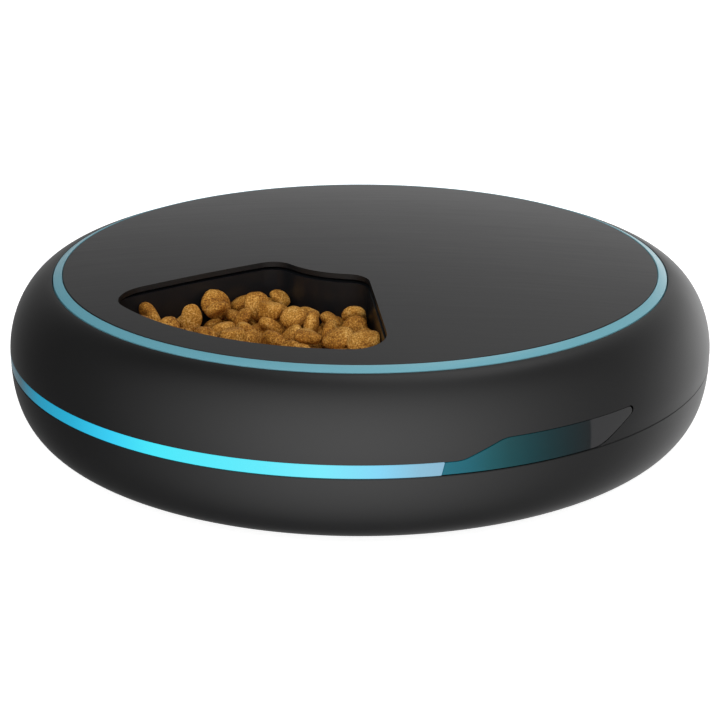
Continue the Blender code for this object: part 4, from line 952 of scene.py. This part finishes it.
@dataclass
class Lid:
    """The domed cover and its trim ring."""

    form: BodyForm
    radius: float = 139.15 * MM
    edge: float = 77.24 * MM
    crown: float = 7.49 * MM
    thickness: float = 2.4 * MM
    flange: float = 4.5 * MM
    opening_inner: float = 41.0 * MM
    opening_outer: float = 125.1 * MM
    azimuth: float = -29.3
    inset: float = 1.5 * MM
    outer_corner: float = 15.0 * MM
    inner_corner: float = 11.0 * MM

    def top(self, radius: float) -> float:
        """Height of the dome at a radius."""
        return self.edge + self.crown * (1 - (radius / self.radius) ** 2)

    def opening(self, grown: float = 0.0) -> list[Point]:
        """Outline of the feeding opening, grown all round."""
        return sector(self.opening_inner - grown, self.opening_outer + grown, self.inset - grown,
                      self.inner_corner + grown, self.outer_corner + grown, self.azimuth)

    def build(self, shop: Workshop) -> None:
        """Make and deliver both pieces."""
        rings = 30
        outline = [self.radius * step / rings for step in range(rings + 1)]
        top = [(radius, self.top(radius)) for radius in outline]
        top[-1] = (self.radius - 0.3 * MM, self.top(self.radius))
        under = [(radius, self.top(radius) - self.thickness) for radius in reversed(outline)]
        cover = as_object("domed_lid", turned(top + [(self.radius, self.edge - 0.3 * MM)] + under))
        carve(cover, prism(self.opening(), self.form.rim_height - 5 * MM, self.edge + 2 * self.crown))
        shop.deliver(cover, "lid_plastic", Body.LID, ("lid_cover",))
        self.ring(shop)

    def ring(self, shop: Workshop) -> None:
        """The trim ring with its softened edges, under-flange and keys."""
        inner = self.radius + self.form.gap
        seat = self.form.rim_height - 3.0 * MM + self.form.gap
        shelf = self.edge - self.thickness - self.form.gap
        outside = self.form.rim_radius
        height = self.form.rim_height
        shape = turned([
            (inner, self.edge - 0.25 * MM), (inner + 0.25 * MM, self.edge - 0.05 * MM),
            (outside - 0.3 * MM, height + 0.1 * MM), (outside, height - 0.25 * MM), (outside, seat),
            (inner - self.flange, seat), (inner - self.flange, shelf), (inner, shelf),
        ], 288)
        ring = as_object("lid_ring", shape)
        keys = []
        for index in range(3):
            key = prism([(140.95 * MM, -4 * MM), (143.35 * MM, -4 * MM), (143.35 * MM, 4 * MM),
                         (140.95 * MM, 4 * MM)], seat - 2.8 * MM, seat + 0.3 * MM)
            key.transform(Matrix.Rotation(math.radians(90.0 + 120.0 * index), 4, "Z"))
            keys.append(key)
        carve(ring, *keys, operation="UNION")
        shop.deliver(ring, "teal_trim", Body.LID, ("lid_trim_ring",))


@dataclass
class Tray:
    """The five-compartment tray."""

    form: BodyForm
    lid: Lid
    radius: float = 133.8 * MM
    wall: float = 2.4 * MM
    floor_thickness: float = 2.2 * MM
    lid_gap: float = 1.2 * MM
    divider: float = 2.2 * MM
    hub: float = 42.5 * MM
    corner: float = 10.0 * MM
    floor_round: float = 5.0 * MM
    dog_radius: float = 13.5 * MM
    bottom: float = field(init=False)
    floor: float = field(init=False)

    def __post_init__(self) -> None:
        """Read the tray's height from the frame once."""
        self.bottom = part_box("food_tray")[0][2]
        self.floor = self.bottom + self.floor_thickness

    def rim(self, radius: float) -> float:
        """Height of the tray's rims, just under the lid."""
        return self.lid.top(radius) - self.lid.thickness - self.lid_gap

    def pocket(self, azimuth: float) -> bmesh.types.BMesh:
        """The inside of one compartment, with a rounded floor edge."""
        layers = []
        steps = 5
        for step in range(steps + 1):
            turn = math.pi / 2 * step / steps
            layers.append((self.floor_round * (1 - math.sin(turn)), self.floor_round * (1 - math.cos(turn))))
        layers.append((0.0, self.rim(0.0) + 10 * MM - self.floor))
        shape = bmesh.new()
        rings = []
        for inset, rise in layers:
            outline = sector(self.hub + inset, self.radius - self.wall - inset, self.divider + inset,
                             self.corner - inset, self.corner - inset, azimuth)
            rings.append([shape.verts.new((x, y, self.floor + rise)) for x, y in outline])
        count = len(rings[0])
        for lower, upper in zip(rings, rings[1:]):
            for index in range(count):
                following = (index + 1) % count
                shape.faces.new((lower[index], lower[following], upper[following], upper[index]))
        shape.faces.new(rings[0])
        shape.faces.new(rings[-1])
        bmesh.ops.recalc_face_normals(shape, faces=shape.faces)
        return shape

    def build(self, shop: Workshop) -> None:
        """Make and deliver the tray."""
        outline = [self.radius * step / 24 for step in range(25)]
        top = [(radius, self.rim(radius)) for radius in outline]
        top[-1] = (self.radius - 0.5 * MM, self.rim(self.radius))
        base_corner = arc((self.radius - 4 * MM, self.bottom + 4 * MM), 4 * MM, 0.0, -math.pi / 2, 6)
        shape = turned(top + [(self.radius, self.rim(self.radius) - 0.5 * MM)] + base_corner
                       + [(0.0, self.bottom)])
        tray = as_object("meal_tray", shape)
        pockets = [self.pocket(self.lid.azimuth + 72.0 * index) for index in range(5)]
        hollow = turned([
            (self.hub - self.wall, self.rim(self.hub) - self.wall), (self.hub - self.wall, self.bottom - 5 * MM),
            (20.2 * MM, self.bottom - 5 * MM), (20.2 * MM, self.rim(self.hub) - self.wall)], 120)
        hollow.transform(Matrix.Rotation(math.radians(1.0), 4, "Z"))
        socket = post(self.dog_radius, self.bottom - 5 * MM, self.bottom + 8.7 * MM, 6,
                      Matrix.Rotation(math.radians(2.0), 4, "Z"))
        carve(tray, hollow, socket, *pockets)
        shop.deliver(tray, "tray_plastic", Body.TRAY, ("food_tray",))


@dataclass
class LightAndDisplay:
    """The lit guide in the seam and the smoked window."""

    form: BodyForm
    window: WindowForm
    strip_from: float = -168.0
    strip_to: float = 12.4
    strip_thickness: float = 3.2 * MM
    window_thickness: float = 2.2 * MM

    def build(self, shop: Workshop) -> None:
        """Make and deliver both pieces."""
        form = self.form
        above = form.shoulder(form.strip_top)
        below = [point for point in form.skirt(form.belly - 0.2 * MM) if point[1] > form.strip_bottom + 0.2 * MM]
        inner = form.radius - self.strip_thickness
        edge = 0.25 * MM
        above[0] = (above[0][0] - edge, form.strip_top)
        above.insert(1, (above[1][0], form.strip_top - edge))
        profile = above + below + [(form.radius - edge, form.strip_bottom), (inner, form.strip_bottom),
                                   (inner, form.strip_top)]
        guide = as_object("seam_light", turned(profile, 288))
        carve(guide, form.seam_slice(self.strip_from, self.strip_to, form.strip_bottom - 3 * MM,
                                     form.strip_top + 3 * MM), operation="INTERSECT")
        carve(guide, self.window.cutter(form.gap))
        shop.deliver(guide, "light_guide", Body.HOUSING, ("accent_light_guide",))

        top = self.window.top + 4 * MM
        outer = form.shoulder(top) + [point for point in form.skirt(form.belly - 0.2 * MM) if point[1] > form.seam]
        inside = inward(outer, self.window_thickness)
        glass = as_object("smoked_glass", turned(outer + inside[::-1], 288))
        carve(glass, self.window.cutter(0.0), operation="INTERSECT")
        shop.deliver(glass, "smoked_window", Body.HOUSING, ("display_window",))


class NodeTree:
    """A geometry node group under construction."""

    def __init__(self, name: str) -> None:
        """Start an empty group with geometry in and out."""
        self.tree = bpy.data.node_groups.new(name, "GeometryNodeTree")
        self.tree.interface.new_socket("Geometry", in_out="INPUT", socket_type="NodeSocketGeometry")
        self.tree.interface.new_socket("Geometry", in_out="OUTPUT", socket_type="NodeSocketGeometry")
        self.identifiers: dict[str, str] = {}

    def declare(self, name: str, kind: str) -> None:
        """Add a named input."""
        made = self.tree.interface.new_socket(name, in_out="INPUT", socket_type=kind)
        self.identifiers[name] = made.identifier

    def node(self, kind: str, inputs: dict | None = None, **settings: object) -> bpy.types.Node:
        """Add a node.

        Args:
            kind: the node's type.
            inputs: values or sockets by input name.
            settings: properties, set first.

        Returns:
            The node.
        """
        node = self.tree.nodes.new(kind)
        for key, value in settings.items():
            setattr(node, key, value)
        for key, value in (inputs or {}).items():
            if isinstance(value, bpy.types.NodeSocket):
                self.tree.links.new(value, node.inputs[key])
            else:
                node.inputs[key].default_value = value
        return node

    def attribute(self, name: str, kind: str) -> bpy.types.NodeSocket:
        """A named attribute of the incoming points."""
        read = self.node("GeometryNodeInputNamedAttribute", {"Name": name}, data_type=kind)
        return read.outputs["Attribute"]

    def apply(self, thing: bpy.types.Object, values: dict[str, object]) -> bpy.types.Object:
        """Run the group on an object and keep the result as a plain mesh."""
        modifier = thing.modifiers.new("Build", "NODES")
        modifier.node_group = self.tree
        for name, value in values.items():
            modifier[self.identifiers[name]] = value
        return settled(thing)


@dataclass
class FoodHeap:
    """Loose dry food in the compartment under the opening: pieces that settle one by one."""

    lid: Lid
    tray: Tray
    level: float = 72.0 * MM
    ceiling: float = 75.2 * MM
    ball: float = 5.5 * MM
    tries: int = 14
    across: float = 13.0 * MM
    thick: float = 6.4 * MM
    kinds: int = 9
    tumble: float = 0.75
    sizes: tuple[float, float] = (0.8, 1.12)
    seed: int = 11

    def inside(self, x: float, y: float, margin: float) -> bool:
        """Whether a spot is inside the compartment, a margin off its walls."""
        radius = math.hypot(x, y)
        if not self.tray.hub + margin < radius < self.tray.radius - self.tray.wall - margin:
            return False
        azimuth = math.degrees(math.atan2(x, -y)) - self.lid.azimuth
        side = radius * math.sin(math.radians(36.0 - abs(azimuth)))
        return side > self.tray.divider + margin

    def rest_height(self, x: float, y: float, placed: list[Vector]) -> float:
        """Height at which a ball dropped at a spot first touches something."""
        height = self.tray.floor + self.ball
        reach = 2 * self.ball
        for other in placed:
            distance = math.hypot(x - other.x, y - other.y)
            if distance < reach:
                height = max(height, other.z + math.sqrt(reach ** 2 - distance ** 2))
        return height

    def settle(self, source: random.Random, placed: list[Vector]) -> Vector:
        """Drop one ball at a random spot and let it roll downhill.

        Args:
            source: seeded random numbers.
            placed: the middles of the balls that already rest.

        Returns:
            Its middle.
        """
        margin = self.ball * 0.95
        while True:
            radius = math.sqrt(source.uniform((self.tray.hub + margin) ** 2,
                                              (self.tray.radius - margin) ** 2))
            spot = azimuth_point(radius, self.lid.azimuth + source.uniform(-36.0, 36.0))
            if self.inside(spot.x, spot.y, margin):
                break
        x, y = spot.x, spot.y
        height = self.rest_height(x, y, placed)
        step = 2.0 * MM
        for _ in range(16):
            turn = source.uniform(0.0, 2 * math.pi)
            nx = x + step * math.cos(turn)
            ny = y + step * math.sin(turn)
            lower = self.rest_height(nx, ny, placed)
            if lower < height and self.inside(nx, ny, margin):
                x, y, height = nx, ny, lower
        return Vector((x, y, height))

    def drop(self, source: random.Random) -> list[Vector]:
        """Fill the compartment, lowest places first, until it is level.

        Args:
            source: seeded random numbers.

        Returns:
            The middles of the pieces.
        """
        placed: list[Vector] = []
        while True:
            spots = [self.settle(source, placed) for _ in range(self.tries)]
            lowest = min(spots, key=lambda spot: spot.z)
            if lowest.z > self.level:
                return placed
            placed.append(lowest)

    def morsel(self, index: int, source: random.Random) -> bpy.types.Object:
        """One baked piece: a thick disc or oval with a dimple and lumps.

        Args:
            index: which kind it is.
            source: seeded random numbers.

        Returns:
            The piece, at the origin.
        """
        shape = bmesh.new()
        bmesh.ops.create_icosphere(shape, subdivisions=3, radius=1.0)
        oval = 1.0 + 0.05 * (index % 5)
        dimple = source.uniform(0.25, 0.6) if index % 3 == 1 else source.uniform(-0.05, 0.12)
        waves = [(Vector([source.uniform(-1, 1) for _ in range(3)]).normalized() * source.uniform(1.6, 4.6),
                  source.uniform(0, 6.3), source.uniform(0.012, 0.04)) for _ in range(9)]
        for vert in shape.verts:
            spot = vert.co.copy()
            lump = 1.0 + sum(size * math.sin(wave.dot(spot) + phase) for wave, phase, size in waves)
            rim = math.hypot(spot.x, spot.y)
            full = abs(spot.z) ** 0.8 * (1 if spot.z > 0 else -1)
            flat = full * (1.0 - dimple * math.exp(-(rim / 0.42) ** 2))
            vert.co = Vector((spot.x * lump * oval * self.across / 2, spot.y * lump / oval * self.across / 2,
                              flat * lump * self.thick / 2))
        return as_object(f"morsel_{index}", shape)

    def build(self, shop: Workshop) -> None:
        """Make and deliver the heap."""
        source = random.Random(self.seed)
        spots = self.drop(source)
        LOG.info("the food reaches %.1f mm", 1000 * (max(spot.z for spot in spots) + self.ball))
        kinds = bpy.data.collections.new("morsels")
        bpy.context.scene.collection.children.link(kinds)
        for index in range(self.kinds):
            morsel = self.morsel(index, source)
            bpy.context.scene.collection.objects.unlink(morsel)
            kinds.objects.link(morsel)
        mesh = bpy.data.meshes.new("food_points")
        mesh.from_pydata([tuple(spot) for spot in spots], [], [])
        kept = {"turn": "FLOAT_VECTOR", "size": "FLOAT", "pick": "INT"}
        for name, kind in kept.items():
            mesh.attributes.new(name, kind, "POINT")
        turns, sizes, picks = (mesh.attributes[name].data for name in kept)
        for index in range(len(spots)):
            turns[index].vector = (source.gauss(0.0, self.tumble), source.gauss(0.0, self.tumble),
                                   source.uniform(0.0, 6.28))
            sizes[index].value = source.uniform(*self.sizes)
            picks[index].value = source.randrange(self.kinds)
        heap = bpy.data.objects.new("food_heap", mesh)
        bpy.context.scene.collection.objects.link(heap)
        self.scatter().apply(heap, {"Morsels": kinds, "Finish": shop.finishes["kibble"]})
        for morsel in list(kinds.objects):
            bpy.data.objects.remove(morsel, do_unlink=True)
        bpy.data.collections.remove(kinds)
        self.hold_inside(heap)
        shop.deliver(heap, "kibble", Body.TRAY, ("kibble_portion",), 80.0)

    def hold_inside(self, heap: bpy.types.Object) -> None:
        """Press what would pass through the compartment's floor or walls, or touch the lid, back inside."""
        spare = 0.2 * MM
        outer = self.tray.radius - self.tray.wall - spare
        inner = self.tray.hub + spare
        sides = [azimuth_point(1.0, self.lid.azimuth + turn) for turn in (-54.0, 54.0)]
        for vert in heap.data.vertices:
            spot = vert.co
            spot.z = min(max(spot.z, self.tray.floor + spare), self.ceiling)
            for side in sides:
                short = self.tray.divider + spare - (spot.x * side.x + spot.y * side.y)
                if short > 0.0:
                    spot.x += side.x * short
                    spot.y += side.y * short
            radius = math.hypot(spot.x, spot.y)
            held = min(max(radius, inner), outer)
            spot.x *= held / radius
            spot.y *= held / radius

    @staticmethod
    def scatter() -> NodeTree:
        """Returns: the group that puts a morsel on every point."""
        group = NodeTree("scatter_food")
        group.declare("Morsels", "NodeSocketCollection")
        group.declare("Finish", "NodeSocketMaterial")
        enter = group.node("NodeGroupInput")
        leave = group.node("NodeGroupOutput")
        points = group.node("GeometryNodeMeshToPoints", {"Mesh": enter.outputs["Geometry"]})
        stock = group.node("GeometryNodeCollectionInfo", {
            "Collection": enter.outputs["Morsels"], "Separate Children": True, "Reset Children": True})
        spread = group.node("GeometryNodeInstanceOnPoints", {
            "Points": points.outputs["Points"], "Instance": stock.outputs["Instances"], "Pick Instance": True,
            "Instance Index": group.attribute("pick", "INT"),
            "Rotation": group.attribute("turn", "FLOAT_VECTOR"),
            "Scale": group.attribute("size", "FLOAT")})
        real = group.node("GeometryNodeRealizeInstances", {"Geometry": spread.outputs["Instances"]})
        finish = group.node("GeometryNodeSetMaterial", {"Geometry": real.outputs["Geometry"],
                                                        "Material": enter.outputs["Finish"]})
        group.tree.links.new(finish.outputs["Geometry"], leave.inputs["Geometry"])
        return group


@dataclass
class BatteryDoor:
    """The door under the base with its thumb recess and grip ribs."""

    rib_count: int = 7
    rib_pitch: float = 2.4 * MM
    rib_width: float = 1.1 * MM
    rib_length: float = 22.0 * MM
    recess: float = 9.0 * MM

    def build(self, shop: Workshop) -> None:
        """Make and deliver the door."""
        low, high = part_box("battery_door")
        thick = high[2] - low[2]
        corners = [(low[0], low[1], 1.2 * MM), (high[0], low[1], 1.2 * MM), (high[0], high[1], 1.2 * MM),
                   (low[0], high[1], 1.2 * MM)]
        door = as_object("battery_door_plate", prism(rounded(corners), low[2], high[2]))
        middle = ((low[0] + high[0]) / 2, high[1] - 14 * MM, low[2])
        carve(door, post(self.recess, -1 * MM, 0.8 * MM, 48, Matrix.Translation(middle)))
        ribs = self.ribs(shop, (middle[0], middle[1] - 24 * MM, low[2] + thick / 4))
        shape = bmesh.new()
        shape.from_mesh(ribs.data)
        bpy.data.objects.remove(ribs, do_unlink=True)
        carve(door, shape)
        shop.deliver(door, "body_plastic", Body.DOOR, ("battery_door",))

    def ribs(self, shop: Workshop, place: tuple[float, float, float]) -> bpy.types.Object:
        """A row of grooves' bodies across the door, placed by a node group."""
        group = NodeTree("grip_ribs")
        for name, kind in (("Count", "NodeSocketInt"), ("Pitch", "NodeSocketFloat"),
                           ("Size", "NodeSocketVector"), ("Place", "NodeSocketVector"),
                           ("Finish", "NodeSocketMaterial")):
            group.declare(name, kind)
        enter = group.node("NodeGroupInput")
        leave = group.node("NodeGroupOutput")
        step = group.node("ShaderNodeCombineXYZ", {"Y": enter.outputs["Pitch"]})
        line = group.node("GeometryNodeMeshLine", {"Count": enter.outputs["Count"],
                                                   "Start Location": enter.outputs["Place"],
                                                   "Offset": step.outputs[0]})
        bar = group.node("GeometryNodeMeshCube", {"Size": enter.outputs["Size"]})
        spread = group.node("GeometryNodeInstanceOnPoints", {"Points": line.outputs["Mesh"],
                                                             "Instance": bar.outputs["Mesh"]})
        real = group.node("GeometryNodeRealizeInstances", {"Geometry": spread.outputs["Instances"]})
        finish = group.node("GeometryNodeSetMaterial", {"Geometry": real.outputs["Geometry"],
                                                        "Material": enter.outputs["Finish"]})
        group.tree.links.new(finish.outputs["Geometry"], leave.inputs["Geometry"])
        made = as_object("grip_ribs", bmesh.new())
        return group.apply(made, {"Count": self.rib_count, "Pitch": self.rib_pitch,
                                  "Size": (self.rib_length, self.rib_width, 1.6 * MM), "Place": place,
                                  "Finish": shop.finishes["body_plastic"]})


# ---------------------------------------------------------------- studio
@dataclass
class Studio:
    """Floor, soft lights and camera."""

    camera_place: tuple[float, float, float] = (0.0, -0.8672, 0.3488)
    pitch: float = 20.32
    lens: float = 96.05
    sensor: float = 36.0
    ambient: float = 0.13
    front: float = 1.9
    front_way: tuple[float, float, float] = (-0.04, -0.985, 0.174)
    back: float = 1.35
    back_way: tuple[float, float, float] = (0.45, 0.89, 0.0)

    def build(self) -> None:
        """Set up the studio."""
        self.floor()
        self.sky()
        self.softbox("key_light", (0.25, 0.5, 1.35), (0.0, 0.0, 0.06), (0.8, 0.8), 2.5)
        bpy.context.scene.view_settings.view_transform = "Standard"
        self.camera()

    def floor(self) -> None:
        """A plain pale floor."""
        shape = bmesh.new()
        bmesh.ops.create_grid(shape, x_segments=1, y_segments=1, size=12.0)
        floor = as_object("floor", shape)
        floor.location = (0.0, 0.0, -0.0002)
        paint = Paint("pale_floor")
        paint.set(Base_Color=(0.8, 0.8, 0.8), Roughness=0.7, Specular_IOR_Level=0.0,
                  Emission_Color=(1.0, 1.0, 1.0), Emission_Strength=0.85)
        floor.data.materials.append(paint.material)
        floor.visible_glossy = False

    def sky(self) -> None:
        """Soft surroundings: bright in front and low at the back right, dim on the left."""
        world = bpy.data.worlds.new("studio")
        world.use_nodes = True
        tree = world.node_tree
        back = tree.nodes["Background"]
        place = tree.nodes.new("ShaderNodeTexCoord")
        split = tree.nodes.new("ShaderNodeSeparateXYZ")
        tree.links.new(place.outputs["Generated"], split.inputs["Vector"])
        way = [Wire(tree, output) for output in split.outputs]

        def toward(aim: tuple[float, float, float]) -> Wire:
            """How much a direction looks along an aim, from 0 to 1."""
            return (way[0] * aim[0] + way[1] * aim[1] + way[2] * aim[2]).clamped()

        level = 1.0 - way[2].clamped()
        ahead = toward(self.front_way) * (1.0 - way[0] * way[0] * 0.6)
        behind = toward(self.back_way)
        strength = (way[0] * 0.06 + self.ambient + ahead * self.front
                    + behind * behind * behind * level * level * self.back)
        tree.links.new(strength.socket, back.inputs["Strength"])
        back.inputs["Color"].default_value = (1.0, 1.0, 1.0, 1.0)
        bpy.context.scene.world = world

    @staticmethod
    def softbox(name: str, place: tuple, aim: tuple, size: tuple, power: float) -> None:
        """A rectangular soft light that points at a spot.

        Args:
            name: the light's name.
            place: where it stands.
            aim: what it points at.
            size: its width and height.
            power: its power in watts.
        """
        lamp = bpy.data.lights.new(name, "AREA")
        lamp.shape = "RECTANGLE"
        lamp.size, lamp.size_y = size
        lamp.energy = power
        made = bpy.data.objects.new(name, lamp)
        made.location = place
        made.rotation_euler = (Vector(aim) - Vector(place)).to_track_quat("-Z", "Y").to_euler()
        made.visible_camera = False
        bpy.context.scene.collection.objects.link(made)

    def camera(self) -> None:
        """The camera, level and a little above the feeder."""
        lens = bpy.data.cameras.new("camera")
        lens.lens = self.lens
        lens.sensor_width = self.sensor
        made = bpy.data.objects.new("camera", lens)
        made.location = self.camera_place
        made.rotation_euler = (math.radians(90.0 - self.pitch), 0.0, 0.0)
        bpy.context.scene.collection.objects.link(made)
        bpy.context.scene.camera = made


def main() -> None:
    """Build the looks round the frame, sub-assembly by sub-assembly."""
    form = BodyForm()
    window = WindowForm(form)
    shop = Workshop()
    shop.dress_frame()
    lid = Lid(form)
    tray = Tray(form, lid)
    Studio().build()
    Housing(form, window).build(shop)
    LightAndDisplay(form, window).build(shop)
    lid.build(shop)
    tray.build(shop)
    FoodHeap(lid, tray).build(shop)
    BatteryDoor().build(shop)


if __name__ == "__main__":
    main()
